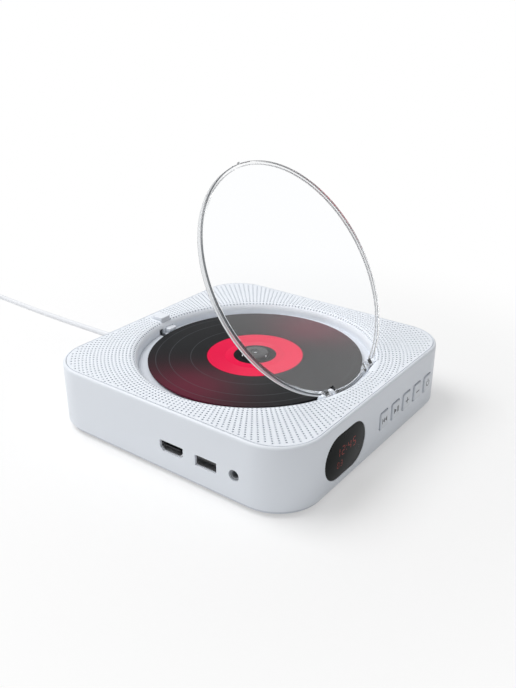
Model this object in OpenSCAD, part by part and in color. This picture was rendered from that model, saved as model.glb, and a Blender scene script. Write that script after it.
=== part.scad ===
// Flat square disc player that stands on feet or hangs on two screws.
// Origin: centre of the footprint, on the surface that the feet stand on.
// +Z up, -Y is the side with the sockets, +X is the side with the display and keys.

/* [Body] */
// Width of the deck between the well and the side
deck_w = 16.6; // [15:0.1:18]
// Height of the deck above the surface
body_top = 38; // [37:0.5:41]
// Corner radius seen from above
corner_r = 25; // [22:0.5:28]
// Thickness of the side wall
wall_t = 2.2; // [2:0.1:2.6]
// Width of the rim left around the deck panel
rim_w = 1.75; // [1.5:0.05:1.9]
// Rounding of the rim's top edge
edge_r = 1.5; // [0.8:0.1:1.6]
// Thickness of the deck panel
panel_t = 2; // [1.6:0.1:2.4]
// Gap round the deck panel
panel_gap = 0.1; // [0.05:0.05:0.2]

/* [Base] */
// Height of a rubber foot
foot_h = 1.6; // [1:0.1:2]
// Radius of a rubber foot
foot_r = 6; // [4:0.5:8]
// Thickness of the bottom cover
cover_t = 1.8; // [1.6:0.1:2.2]
// Step from the side wall in to the bottom cover's edge
cover_inset = 1.4; // [1:0.1:1.8]
// Distance between the two hanging holes
hang_span = 80; // [60:1:90]
// Radius of the part of a hanging hole that the screw head enters
hang_entry_r = 4.2; // [4:0.1:4.5]
// Width of the slot that holds the screw shank
hang_slot_w = 4.4; // [4:0.1:4.6]
// Length of that slot from the entry's centre
hang_slot_l = 9; // [8:0.5:11]
// Radius of a case screw's shank
screw_r = 1.5; // [1.2:0.1:1.8]

/* [Disc well] */
// Room between the disc and the well's wall
disc_room = 5.4; // [5.2:0.1:6]
// Thickness of the well's wall
well_wall = 1.6; // [1.2:0.1:2]
// Rounding of the well's mouth
well_lip = 4.8; // [4:0.1:5.2]
// Depth of the well's floor below the deck
well_depth = 6.6; // [6.2:0.1:7]
// Thickness of the tray that closes the well
tray_t = 1.6; // [1.2:0.1:2]

/* [Disc and drive] */
// Outer diameter of the disc
disc_d = 120; // [118:0.5:120]
// Thickness of the disc
disc_t = 1.2; // [1.1:0.05:1.3]
// Diameter of the hole in the disc
disc_hole_d = 15; // [15:0.1:15.2]
// Radius of the turntable under the disc
table_r = 14; // [12:0.5:16]
// Gap between the disc and the tray
disc_lift = 0.9; // [0.8:0.1:1.2]
// Clearance of the hub in the disc's hole
hub_gap = 0.1; // [0.05:0.05:0.2]
// Height of the hub above the disc
hub_h = 1.5; // [1.2:0.1:1.6]
// Radius of the spindle
spindle_r = 1; // [0.8:0.1:1.2]
// Running clearance of shafts
run_gap = 0.05; // [0.02:0.01:0.08]
// Radius of the spindle motor
motor_r = 11; // [10:0.5:12]
// Distance from the spindle to the lens at the start of its travel
lens_start = 24; // [23:0.5:26]
// Distance from the lens to the disc's edge at the end of its travel
lens_margin = 2; // [1.5:0.1:4]
// Half the distance between the guide rods
rod_x = 22; // [21:0.5:23]
// Radius of a guide rod
rod_r = 1.5; // [1.2:0.1:1.6]

/* [Lid] */
// Gap between the clear lid and the well's wall
lid_gap = 1.2; // [1:0.1:1.6]
// Thickness of the lid's plate
lid_t = 2; // [1.8:0.1:2.2]
// Bevel of the lid's top edge
lid_bevel = 0.9; // [0.8:0.1:1.2]
// Height of the lid's rim below the plate
lid_skirt = 1.6; // [1.2:0.1:1.8]
// Width of the lid's rim
lid_skirt_w = 1.8; // [1.4:0.1:2.2]
// How far the lid stands open
lid_open = 56.5; // [40:0.5:60]
// Distance of the hinge line from the lid's edge
hinge_inset = 3.2; // [3:0.1:3.6]
// Depth of the hinge line below the deck
hinge_drop = 2.4; // [2.2:0.1:2.6]
// Distance of each hinge from the middle
hinge_y = 21; // [20:0.5:22]
// Length of a lid knuckle along the hinge line
knuckle_l = 5; // [4.5:0.1:5.5]
// Radius of a lid knuckle
knuckle_r = 2.2; // [2:0.1:2.2]
// Radius of a hinge pin
pin_r = 1; // [0.8:0.1:1.1]
// Thickness of an ear that holds the pin
ear_t = 2; // [1.6:0.1:2.2]

/* [Lid release] */
// Length of the release key along the deck's edge
release_w = 7.6; // [7:0.2:9]
// Distance of the release key from the side
release_edge = 6.6; // [6:0.1:7]
// Distance from the well to the release key
release_gap = 2; // [1.8:0.1:2.4]
// Height of the release key above the deck
release_h = 2; // [1.6:0.1:2.2]
// Travel of the release key
release_travel = 1.1; // [0.8:0.1:1.1]
// Width of the catch in the well's wall
catch_w = 6.4; // [6:0.2:8]
// Travel of the catch
catch_travel = 1; // [0.6:0.1:1.1]

/* [Keys and display] */
// Width of a side key
key_w = 8; // [7:0.1:8.6]
// Height of a side key
key_h = 9.2; // [8:0.1:9.6]
// Distance of the last key from the rear side
key_end = 28.4; // [28.2:0.1:30]
// Distance of the first key from the middle
key_first = 2.4; // [2:0.1:4]
// Height of the keys' centre above the surface
key_z = 18.8; // [17:0.1:20]
// How far a key stands proud of the side
key_proud = 0.8; // [0.7:0.05:1.2]
// Travel of a key
key_travel = 0.5; // [0.3:0.05:0.6]
// Clearance round a key
key_gap = 0.25; // [0.2:0.05:0.35]
// Length of the display window
window_l = 37.6; // [35:0.1:39]
// Height of the display window
window_h = 23.8; // [22:0.1:24.4]
// Distance of the window's centre from the middle
window_y = 36; // [35:0.1:38]
// Height of the window's centre above the surface
window_z = 19.4; // [18:0.1:20]

/* [Sockets] */
// Top of the main board above the surface
board_top = 13.6; // [13:0.1:14]
// Thickness of a circuit board
board_t = 1.6; // [1:0.1:1.6]
// Place of the video socket along the side
video_x = 10.4; // [9.5:0.1:11]
// Place of the data socket along the side
data_x = 32.3; // [31.5:0.1:33]
// Place of the headphone socket along the side
phone_x = 49.3; // [48.5:0.1:50]
// Radius of the headphone socket's bore
phone_bore_r = 1.8; // [1.75:0.01:1.85]
// Place of the power socket along the side
power_y = 17.5; // [17:0.1:18]
// Height of the power socket's centre
power_z = 9.6; // [9.4:0.1:10]
// Radius of the power plug's barrel
barrel_r = 2.75; // [2.6:0.05:2.8]

/* [Speakers] */
// Radius of a speaker
speaker_r = 15.5; // [14:0.1:15.5]
// Distance of a speaker's centre from the two sides
speaker_inset = 21.7; // [21.4:0.1:22]
// Radius of a hole in the deck
hole_r = 0.6; // [0.4:0.05:0.8]
// Distance between rings of holes over a speaker
hole_pitch = 3.6; // [3:0.1:4]

/* [Power lead] */
// Diameter of the lead
cord_d = 3.4; // [3.2:0.1:3.6]
// Diameter of the coil at the middle of its turns
coil_mid_d = 40; // [38:1:42]
// Gap between the coil's turns
coil_gap = 0.55; // [0.5:0.01:0.6]
// Height of the data plug's grip at the lead's far end
grip_h = 8; // [7.4:0.1:8.4]
// Length of that grip
grip_l = 22; // [18:0.5:26]

/* [Hidden] */
white = [0.93, 0.95, 0.97];
pale = [0.85, 0.88, 0.91];
black = [0.12, 0.12, 0.13];
steel = [0.75, 0.76, 0.78];
green = [0.1, 0.42, 0.25];
rubber = [0.3, 0.3, 0.32];
$fn = 64;
well_r = disc_d / 2 + disc_room;
half = well_r + deck_w;
body_w = 2 * half;
inner = half - wall_t;
cover_z = foot_h;
shell_z = cover_z + cover_t;
deck_z = body_top;
panel_z = deck_z - panel_t;
floor_z = deck_z - well_depth;
tray_z = floor_z - tray_t;
disc_z = floor_z + disc_lift;
disc_top = disc_z + disc_t;
fit = 0.3;
ledge_w = 2.4;
ledge_t = 1.8;

// Screw bosses
bosses = [[42 - half, 1], [half - 42, 1], [42 - half, -1], [half - 20, -1]];
boss_r = 3.5;
boss_h = 16;
boss_y = inner - boss_r - 1.6;

// Side wall
video_size = [15, 11.5, 6];
data_size = [13.1, 14, 5.9];
phone_nose_r = 2.9;
phone_z = board_top + 3.5;

// Deck with the well's wall under its round mouth
lid_r = well_r - lid_gap;
hinge_x = lid_r - hinge_inset;
release_x = well_r + release_gap;
release_d = deck_w - release_gap - release_edge;
notch_y = knuckle_l / 2 + ear_t + 2 * fit + 0.3;
notch_x = hinge_x + knuckle_r + 0.5;

// Tray that closes the well
sled_travel = disc_d / 2 - lens_margin - lens_start;
chassis_side = 12;
chassis_ends = [8, 17];
chassis_x = rod_x + chassis_side;
chassis_y = [-motor_r - chassis_ends.x, lens_start + sled_travel + chassis_ends.y];
post_r = 2;
post_in = [5, 7];
post_xy = [for (y = [chassis_y[0] + post_in.x, chassis_y[1] - post_in.y], s = [-1, 1]) [s * (chassis_x - 5), y]];
ear_w = 4;
chassis_t = 1.6;
damper_h = 4;
chassis_top = tray_z - damper_h;
chassis_z = chassis_top - chassis_t;
lens_w = 12;

// Bottom cover with its two hanging holes and the board posts
board_gap = 0.8;
board_x = [video_x - 40.4, phone_x + 7.7];
board_y = [board_gap - inner, board_gap - inner + 43];
board_post_r = 2.6;
board_posts = [for (x = [board_x[0] + 6, board_x[1] - 5], y = [board_y[0] + 17, board_y[1] - 6]) [x, y]];
hang_y = 30;

// Feet and screws
foot_xy = half - 20;
screw_l = 9;

// Clear lid
hinge_z = deck_z - hinge_drop;
lid_top = deck_z + 0.2;
lid_z = lid_top - lid_t;
hook_y = -7;
hook_w = 3;

// Brackets with two ears each
ear_r = knuckle_r + 0.2;
bracket_gap = 0.3;
bracket_t = 1;
pin_l = knuckle_l + 2 * bracket_gap + 2 * ear_t;

// Opening spring between the hinges
spring_l = 1.7;
spring_wire = 0.6;
knuckle_solid = knuckle_l - spring_l - bracket_gap;
knuckle_y = hinge_y + (spring_l + bracket_gap) / 2;

// Release key
release_z = panel_z - 0.6;
spring_r = 2;
catch_z = floor_z + 0.3;
catch_h = release_z - release_travel - 0.2 - catch_z;
catch_out = release_x + release_d - 2 * spring_r - catch_travel - 2;
catch_tip = disc_d / 2 + 1.8;
release_seat = floor_z;

// Disc and everything that turns with it
hub_r = disc_hole_d / 2 - hub_gap;
ball_r = 0.8;
ball_z = disc_top + 0.5;
motor_h = 9;
motor_z = chassis_z - motor_h;

// Chassis plate with the rod holders under it
rod_z = chassis_z - 4;
rod_y = [motor_r + 2.2, chassis_y[1] - 1.5];
holder = 3.2;
sled_window = 12;
window_y1 = rod_y[1] - holder - 0.8;

// Pickup sled with its lens and rack
sled_half = 27;
sled_y = lens_start - 7;
sled_l = 16;
rack_x = sled_half;
lens_top = floor_z - 0.3;

// Gears with straight flanks
rack_module = 0.8;
drive_teeth = 12;
wheel_module = 0.6;
wheel_teeth = 36;
pinion_teeth = 12;
tooth_share = 0.38;
gear_x = rack_x + 0.9 * rack_module + 2.2 + rack_module * drive_teeth / 2;
gear_y = lens_start + 12;
axle_r = 1;
gear_reach = wheel_module * (wheel_teeth + pinion_teeth) / 2;

motor_xy = [gear_x + gear_reach * sin(45), gear_y - gear_reach * cos(45)];

rack_z = rod_z - 3;
rack_h = 3;
rack_y0 = gear_y - sled_travel - 4;
rack_y1 = gear_y + 4;
wheel_z = rack_z - 3.4;
wheel_h = 2.2;
sled_motor_r = 6;
sled_motor_z = wheel_z + wheel_h + 1;

// Boards and sockets
capacitor_r = 3;
// Each chip: place on the board, length, width, height
chips = [[22, 23, 10, 10, 1.4], [46, 29, 12, 8, 1.2], [70, 31, 7, 7, 1.2], [8, 9, 5, 6, 1]];
gear_deck = [20, 10];
module_size = [26, 16];
module_board = [34, 22];
module_back = [1.8, 5.2, 6.8];
power_nose_r = 3.9;
power_bore_r = barrel_r + run_gap;
power_socket_l = 13;
power_board_z = power_z - 4.5 - board_t;
power_board_l = 19.2;

// Display and keys
key_pitch = (half - key_end - key_first) / 4;
key_flange = 1;
key_inner = inner - 1.2;
switch_h = 2.4;
key_board_x = key_inner - key_travel - 0.3 - switch_h;

// Speakers under the two rear corners of the deck
speaker_h = 15;
speaker_xy = half - speaker_inset;

// Power plug in its socket
plug_l = 14;
sleeve_l = 14;
plug_r = 4;
plug_x = -half - 0.4;
cord_exit = [plug_x - plug_l - sleeve_l, power_y, power_z];

// Points of the lead's free stretch
coil_turns = 3.5;
coil_step = cord_d + coil_gap;
tie_t = 0.9;
coil_z = cord_d / 2 + tie_t;
cord_route = [cord_exit, [-114, 17.5, 9.6], [-118, 17.5, 9.3], [-122, 17.5, 8.4], [-126, 17.5, 7.1],
              [-130, 17.5, 5.5], [-134, 17.5, 4], [-138, 17.5, 2.8], [-142, 17.5, 2], [-147, 17.5, 1.7],
              [-154, 17.4, 1.7], [-162, 17.2, 1.7], [-176, 16.9, 1.7], [-192, 16.7, 1.7], [-208, 16.7, 1.7],
              [-224, 16.9, 1.7], [-240, 17.3, 1.7], [-254, 17.7, 1.7], [-262, 17.9, 1.8], [-269, 18, 2.1],
              [-275, 18, 2.4], [-280, 18, 2.6], [-284, 18, 2.6]];

// Coil in two layers
coil_outer = coil_mid_d / 2 + coil_turns * coil_step / 2;
coil_centre = [-288, power_y + 0.5 - coil_outer];
coil_inner = coil_outer - coil_turns * coil_step;
tail_out = 1.6;
loop_rings = 24;
grip_z = grip_h / 2;
top_z = coil_z + coil_step;
coil_end = 2 * coil_turns + 0.5;
coil_steps = loop_rings * coil_end;
turn_points = [for (i = [0:coil_steps]) coil_point(i / loop_rings)];
tail_end = turn_points[len(turn_points) - 1] + [14, 0, 0];
coil_points = concat([[coil_centre.x + 4, 18, coil_z]], turn_points,
                     [tail_end - [cord_d + 4, 0, 0], tail_end - [cord_d, 0, 0], tail_end]);
least = min([for (i = [0:len(coil_points) - 1]) for (j = [i + 12:1:len(coil_points) - 1])
    norm(coil_points[i] - coil_points[j])]) - cord_d;

// Band round the coil and plug at the far end
tie_w = 8;
tie_x = [coil_centre.x - coil_outer - 2.9 - cord_d / 2, coil_centre.x - coil_inner + cord_d / 2 + 1.2];
far_sleeve = 10;

// Rounded square seen from above
module rounded_square(w, r) {
    for (sx = [-1, 1], sy = [-1, 1])
        translate([sx * (w / 2 - r), sy * (w / 2 - r)]) circle(r);
    square([w, w - 2 * r], center = true);
    square([w - 2 * r, w], center = true);
}
module rounded_plate(w, r, h) linear_extrude(h) rounded_square(w, r);

// Tube along Z, given its radii
module ring(r_out, r_in, h) difference() {
    cylinder(r = r_out, h = h);
    translate([0, 0, -1]) cylinder(r = r_in, h = h + 2);
}

// Block given its lowest and highest corner
module block(a, b) translate(a) cube(b - a);

// Pill shape on the +X side, its length along Y
module pill_x(l, h, t) rotate([90, 0, 90]) linear_extrude(t) {
    for (s = [-1, 1]) translate([s * (l - h) / 2, 0]) circle(h / 2);
    square([l - h, h], center = true);
}

// Side wall
function key_y(i) = key_first + i * key_pitch;
module body_shell() color(white) difference() {
    union() {
        shell_wall();
        for (b = bosses) boss(b);
        for (y = [key_y(0) - 6.4, key_y(4) + 6.4])
            block([key_board_x, y - 0.8, key_z - 5], [inner + 0.5, y + 0.8, key_z + 5]);
    }
    translate([inner - 1, -window_y, window_z]) pill_x(window_l + 2 * panel_gap, window_h + 2 * panel_gap, 9);
    for (i = [0:4])
        block([inner - 1, key_y(i) - key_w / 2 - key_gap, key_z - key_h / 2 - key_gap],
              [half + 1, key_y(i) + key_w / 2 + key_gap, key_z + key_h / 2 + key_gap]);
    block([video_x - video_size.x / 2 - panel_gap, -half - 1, board_top - panel_gap],
          [video_x + video_size.x / 2 + panel_gap, -inner + 1, board_top + video_size.z + panel_gap]);
    block([data_x - data_size.x / 2 - panel_gap, -half - 1, board_top - panel_gap],
          [data_x + data_size.x / 2 + panel_gap, -inner + 1, board_top + data_size.z + panel_gap]);
    translate([phone_x, -inner + 1, phone_z]) rotate([90, 0, 0]) cylinder(r = phone_nose_r + panel_gap, h = 9);
    translate([-half - 1, power_y, power_z]) rotate([0, 90, 0])
        cylinder(r = power_nose_r + panel_gap, h = 9);
}
module shell_wall() difference() {
    union() {
        translate([0, 0, shell_z]) rounded_plate(body_w, corner_r, deck_z - edge_r - shell_z);
        rim_top();
    }
    translate([0, 0, shell_z - 1])
        rounded_plate(2 * inner, corner_r - wall_t, panel_z - ledge_t - shell_z + 1);
    translate([0, 0, panel_z - ledge_t - 1])
        rounded_plate(2 * (inner - ledge_w), corner_r - wall_t - ledge_w, deck_z);
    translate([0, 0, panel_z]) rounded_plate(body_w - 2 * rim_w, corner_r - rim_w, panel_t + 1);
}
// Rounded top edge, built from quarter rings and straight runs
module rim_profile() {
    square([corner_r - edge_r, edge_r]);
    translate([corner_r - edge_r, 0]) intersection() {
        circle(edge_r);
        square(edge_r);
    }
}
module rim_top() {
    run = half - corner_r;
    for (a = [0, 90, 180, 270]) rotate(a) {
        translate([run, run, deck_z - edge_r]) rotate_extrude(angle = 90) rim_profile();
        translate([run, run, deck_z - edge_r]) rotate([90, 0, 0]) linear_extrude(2 * run) rim_profile();
    }
    block([-run, -run, deck_z - edge_r], [run, run, deck_z]);
}
module boss(b) {
    y = b[1] * boss_y;
    difference() {
        union() {
            translate([b[0], y, shell_z]) cylinder(r = boss_r, h = boss_h);
            block([b[0] - 1.2, min(y, b[1] * (inner + 1)), shell_z],
                  [b[0] + 1.2, max(y, b[1] * (inner + 1)), shell_z + boss_h]);
        }
        translate([b[0], y, shell_z - 1]) cylinder(r = screw_r + run_gap, h = boss_h - 1);
    }
}

// Deck with the well's wall under its round mouth
module deck_panel() color(white) difference() {
    union() {
        difference() {
            translate([0, 0, panel_z])
                rounded_plate(body_w - 2 * rim_w - 2 * panel_gap, corner_r - rim_w - panel_gap, panel_t);
            translate([0, 0, panel_z - 1]) cylinder(r = well_r + well_lip, h = panel_t + 2, $fn = 128);
        }
        rotate_extrude($fn = 128) well_profile();
    }
    for (s = [-1, 1])
        block([hinge_x - knuckle_r - 2, s * hinge_y - notch_y, floor_z - 1],
              [notch_x, s * hinge_y + notch_y, deck_z + 1]);
    block([-release_x - release_d - key_gap, -release_w / 2 - key_gap, panel_z - 1 - release_travel],
          [-release_x + key_gap, release_w / 2 + key_gap, deck_z + 1]);
    block([-well_r - well_wall - 1, -catch_w / 2 - key_gap, catch_z - key_gap],
          [-well_r + 1.5, catch_w / 2 + key_gap, catch_z + catch_h + key_gap]);
    block([-well_r - well_wall - 1, hook_y - hook_w / 2 - fit, floor_z - 0.5],
          [-well_r + 1.5, hook_y + hook_w / 2 + fit, floor_z + 3]);
    for (s = [-1, 1]) translate([s * speaker_xy, speaker_xy, panel_z - 1])
        for (k = [0:3], i = [0:max(0, 6 * k - 1)])
            rotate(i * 60 / max(1, k)) translate([k * hole_pitch, 0])
                cylinder(r = hole_r, h = panel_t + 2, $fn = 8);
}
module well_profile() {
    difference() {
        translate([well_r, floor_z]) square([well_lip + well_wall, well_depth]);
        translate([well_r - 1, deck_z]) square([1, 1]);
        translate([well_r, deck_z - well_lip]) difference() {
            translate([-1, 0]) square([well_lip + 1, well_lip + 1]);
            translate([well_lip, 0]) circle(well_lip);
        }
        translate([well_r + well_wall, floor_z - 1]) square([well_lip + 1, well_depth - well_lip + 1]);
        translate([well_r + well_lip, deck_z - well_lip]) circle(well_lip - well_wall);
        translate([well_r + well_lip, deck_z - well_lip - 1]) square([well_wall + 1, well_lip - panel_t + 1]);
    }
}

// Tray that closes the well, with the openings for turntable and lens
module disc_tray() color(pale) difference() {
    union() {
        translate([0, 0, tray_z]) cylinder(r = well_r + well_wall, h = tray_t, $fn = 128);
        block([-release_x - release_d, -release_w / 2, tray_z], [-well_r, release_w / 2, floor_z]);
        for (p = post_xy) {
            block([min(p.x - ear_w, 0), p.y > 0 ? p.y - 3 * ear_w : p.y - ear_w, tray_z],
                  [max(p.x + ear_w, 0), p.y > 0 ? p.y + ear_w : 0, floor_z]);
            translate([p.x, p.y, chassis_z - 1.5]) cylinder(r = post_r, h = tray_z - chassis_z + 1.6);
        }
    }
    translate([0, 0, tray_z - 1]) cylinder(r = table_r + 1, h = tray_t + 2);
    block([-lens_w / 2, 0, tray_z - 1], [lens_w / 2, lens_start + sled_travel + 5, tray_z + tray_t + 1]);
    block([-well_r - well_wall - 1, hook_y - hook_w / 2 - fit, tray_z - 1],
          [-well_r + 4, hook_y + hook_w / 2 + fit, floor_z + 1]);
}

// Bottom cover with its two hanging holes and the board posts
module bottom_cover() color(pale) difference() {
    union() {
        translate([0, 0, cover_z]) rounded_plate(body_w - 2 * cover_inset, corner_r - cover_inset, cover_t);
        for (p = board_posts)
            translate([p.x, p.y, cover_z]) cylinder(r = board_post_r, h = board_top - board_t - cover_z);
        for (dy = [-6.5, 6.5])
            translate([-inner + 13.8, power_y + dy, cover_z]) cylinder(r = 2, h = power_board_z - cover_z);
    }
    for (s = [-1, 1]) translate([s * hang_span / 2, hang_y, cover_z - 1]) {
        cylinder(r = hang_entry_r, h = cover_t + 2);
        block([-hang_slot_w / 2, 0, 0], [hang_slot_w / 2, hang_slot_l, cover_t + 2]);
        translate([0, hang_slot_l, 0]) cylinder(r = hang_slot_w / 2, h = cover_t + 2);
    }
    for (b = bosses) translate([b[0], b[1] * boss_y, cover_z - 1]) cylinder(r = screw_r + 0.2, h = cover_t + 2);
}

// Feet and screws
module foot(i) color(rubber)
    translate([i % 2 == 0 ? -foot_xy : foot_xy, i < 2 ? -foot_xy : foot_xy, 0]) {
        translate([0, 0, 0.4]) cylinder(r = foot_r, h = foot_h - 0.4);
        cylinder(r1 = foot_r - 0.4, r2 = foot_r, h = 0.4);
    }
module case_screws() color(steel) for (b = bosses) translate([b[0], b[1] * boss_y, cover_z]) {
    cylinder(r = screw_r, h = screw_l);
    translate([0, 0, -0.9]) difference() {
        cylinder(r = screw_r * 1.7, h = 0.9);
        translate([0, 0, -0.5]) for (a = [0, 90]) rotate(a)
            translate([-screw_r * 1.1, -0.25, 0]) cube([screw_r * 2.2, 0.5, 1]);
    }
}

// Clear lid, drawn closed and then turned open about its hinge line
module open_lid() translate([hinge_x, 0, hinge_z]) rotate([0, lid_open, 0])
    translate([-hinge_x, 0, -hinge_z]) children();
module lid() color([0.8, 0.85, 0.9, 0.35]) open_lid() difference() {
    union() {
        difference() {
            union() {
                translate([0, 0, lid_z]) cylinder(r = lid_r, h = lid_t - lid_bevel, $fn = 128);
                translate([0, 0, lid_top - lid_bevel])
                    cylinder(r1 = lid_r, r2 = lid_r - lid_bevel, h = lid_bevel, $fn = 128);
                translate([0, 0, lid_z - lid_skirt]) ring(lid_r, lid_r - lid_skirt_w, lid_skirt + 0.1, $fn = 128);
            }
            for (s = [-1, 1]) block([hinge_x - knuckle_r - 1.2, s * hinge_y - notch_y, lid_z - 3],
                                    [lid_r + 1, s * hinge_y + notch_y, lid_top + 1]);
        }
        for (s = [-1, 1]) {
            translate([hinge_x, s * knuckle_y + knuckle_solid / 2, hinge_z]) rotate([90, 0, 0])
                cylinder(r = knuckle_r, h = knuckle_solid);
            block([hinge_x - knuckle_r - 1.8, s * knuckle_y - knuckle_solid / 2, lid_z],
                  [hinge_x, s * knuckle_y + knuckle_solid / 2, hinge_z + knuckle_r]);
        }
        block([-lid_r + 0.2, hook_y - hook_w / 2, floor_z + 1], [-lid_r + 2, hook_y + hook_w / 2, lid_z + 0.1]);
        translate([-lid_r - 0.6, -4, lid_z]) cube([3, 8, lid_t]);
    }
    for (s = [-1, 1]) translate([hinge_x, s * hinge_y + knuckle_l / 2 + 0.5, hinge_z]) rotate([90, 0, 0])
        cylinder(r = pin_r + run_gap, h = knuckle_l + 1);
}

// Brackets with two ears each, standing on the tray
module hinge_bracket(s) color(white) difference() {
    union() {
        for (e = [-1, 1]) {
            y = s * hinge_y + e * (knuckle_l / 2 + bracket_gap + ear_t / 2);
            translate([hinge_x, y + ear_t / 2, hinge_z]) rotate([90, 0, 0]) cylinder(r = ear_r, h = ear_t);
            block([hinge_x - ear_r, y - ear_t / 2, floor_z], [hinge_x + ear_r, y + ear_t / 2, hinge_z]);
        }
        block([hinge_x - ear_r, s * hinge_y - pin_l / 2, floor_z],
              [hinge_x + ear_r, s * hinge_y + pin_l / 2, floor_z + bracket_t]);
    }
    translate([hinge_x, s * hinge_y + 2 * knuckle_l, hinge_z]) rotate([90, 0, 0])
        cylinder(r = pin_r, h = 4 * knuckle_l);
}
module hinge_pin(s) color(steel) translate([hinge_x, s * hinge_y + pin_l / 2, hinge_z]) rotate([90, 0, 0])
    cylinder(r = pin_r - 0.01, h = pin_l);

// Opening springs on the two hinge pins
module lid_springs() color(steel) for (s = [-1, 1]) {
    y = s * (hinge_y - knuckle_l / 2);
    translate([hinge_x, y + (s > 0 ? spring_l : 0), hinge_z]) rotate([90, 0, 0])
        ring(pin_r + 0.1 + spring_wire, pin_r + 0.1, spring_l);
    block([hinge_x - spring_wire / 2, s > 0 ? y : y - spring_wire, floor_z + bracket_t],
          [hinge_x + spring_wire / 2, s > 0 ? y + spring_wire : y, hinge_z - pin_r - 0.3]);
}

// Release key, its spring, the catch that it draws back, and the lid switch
module release_key() color(white) {
    block([-release_x - release_d, -release_w / 2, release_z],
          [-release_x, release_w / 2, deck_z + release_h - 0.5]);
    block([-release_x - release_d + 0.5, -release_w / 2 + 0.5, release_z],
          [-release_x - 0.5, release_w / 2 - 0.5, deck_z + release_h]);
}
module release_spring() color(steel)
    translate([spring_r + 0.5 - release_x - release_d, 0, release_seat])
        ring(spring_r, spring_r - 0.5, release_z - release_seat);
module lid_catch() color(white)
    block([-catch_out, -catch_w / 2, catch_z], [-catch_tip, catch_w / 2, catch_z + catch_h]);
module lid_switch() color(black)
    block([-well_r - 0.6, hook_y - 3, tray_z - 5], [-well_r + 6.4, hook_y + 3, tray_z]);

// Disc and everything that turns with it
module disc() color(black) difference() {
    translate([0, 0, disc_z]) cylinder(r = disc_d / 2, h = disc_t, $fn = 128);
    translate([0, 0, disc_z - 1]) cylinder(r = disc_hole_d / 2, h = disc_t + 2);
}
module turntable() color(black) difference() {
    union() {
        translate([0, 0, disc_z - 2]) cylinder(r = table_r, h = 2);
        translate([0, 0, disc_z - 0.1]) cylinder(r = hub_r, h = disc_t + hub_h + 0.1 - 0.6);
        translate([0, 0, disc_top + hub_h - 0.6]) cylinder(r1 = hub_r, r2 = hub_r - 0.6, h = 0.6);
    }
    translate([0, 0, disc_z - 3]) cylinder(r = spindle_r, h = disc_t + 4.1);
    for (a = [0, 120, 240]) rotate(a) translate([hub_r - 0.5, 0, ball_z]) sphere(ball_r + 0.02, $fn = 24);
}
module hub_balls() color(steel)
    for (a = [0, 120, 240]) rotate(a) translate([hub_r - 0.5, 0, ball_z]) sphere(ball_r, $fn = 24);
module spindle() color(steel) translate([0, 0, motor_z + 2])
    cylinder(r = spindle_r - 0.01, h = disc_z + disc_t + 1 - motor_z - 2);
module spindle_motor() color(steel) difference() {
    union() {
        translate([0, 0, motor_z]) cylinder(r = motor_r, h = motor_h);
        translate([0, 0, chassis_z - 0.1]) cylinder(r = 3, h = chassis_t + 1);
    }
    translate([0, 0, motor_z + 1.9]) cylinder(r = spindle_r + run_gap, h = motor_h + 5);
}

// Chassis plate with the rod holders under it
module chassis() color(steel) difference() {
    union() {
        block([-chassis_x, chassis_y[0], chassis_z], [chassis_x, chassis_y[1], chassis_top]);
        block([chassis_x - 4, gear_y - gear_deck.x, chassis_z],
              [motor_xy.x + sled_motor_r + 1, gear_y + gear_deck.y, chassis_top]);
        for (s = [-1, 1], y = [rod_y[0], rod_y[1] - holder])
            block([s * rod_x - 2.6, y, rod_z - 2.6], [s * rod_x + 2.6, y + holder, chassis_z + 0.1]);
    }
    block([-sled_window, rod_y[0] + holder, chassis_z - 0.5], [sled_window, window_y1, chassis_top + 1]);
    translate([0, 0, chassis_z - 1]) cylinder(r = 3 + run_gap, h = chassis_t + 2);
    for (p = post_xy) translate([p.x, p.y, chassis_z - 1]) cylinder(r = post_r + 0.8, h = chassis_t + 2);
    for (s = [-1, 1]) translate([s * rod_x, rod_y[1] + 1, rod_z]) rotate([90, 0, 0])
        cylinder(r = rod_r, h = rod_y[1] - rod_y[0] + 2);
    translate([gear_x, gear_y, chassis_z - 1]) cylinder(r = axle_r, h = chassis_t + 2);
}
module dampers() color(rubber) for (p = post_xy)
    translate([p.x, p.y, chassis_top]) ring(4, post_r + 0.01, damper_h);
module guide_rod(s) color(steel) translate([s * rod_x, rod_y[1], rod_z]) rotate([90, 0, 0])
    cylinder(r = rod_r - 0.01, h = rod_y[1] - rod_y[0]);

// Pickup sled with its lens and rack
module pickup_sled() color(black) difference() {
    union() {
        block([-sled_half + 0.6, sled_y, rod_z - 3], [rod_x + 2.5, sled_y + sled_l, rod_z + 3]);
        block([4 - sled_window, sled_y + 1, rod_z + 2.9],
              [sled_window - 4, sled_y + sled_l - 3, chassis_top + 0.5]);
    }
    for (s = [-1, 1]) translate([s * rod_x, sled_y + sled_l + 1, rod_z]) rotate([90, 0, 0])
        cylinder(r = rod_r + run_gap, h = sled_l + 2);
}
module pickup_lens() color([0.35, 0.3, 0.6]) translate([0, lens_start, 0]) {
    translate([0, 0, chassis_top + 0.5]) cylinder(r = 4.4, h = lens_top - chassis_top - 1);
    translate([0, 0, lens_top - 1]) cylinder(r1 = 3.2, r2 = 2.4, h = 1);
}

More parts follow.
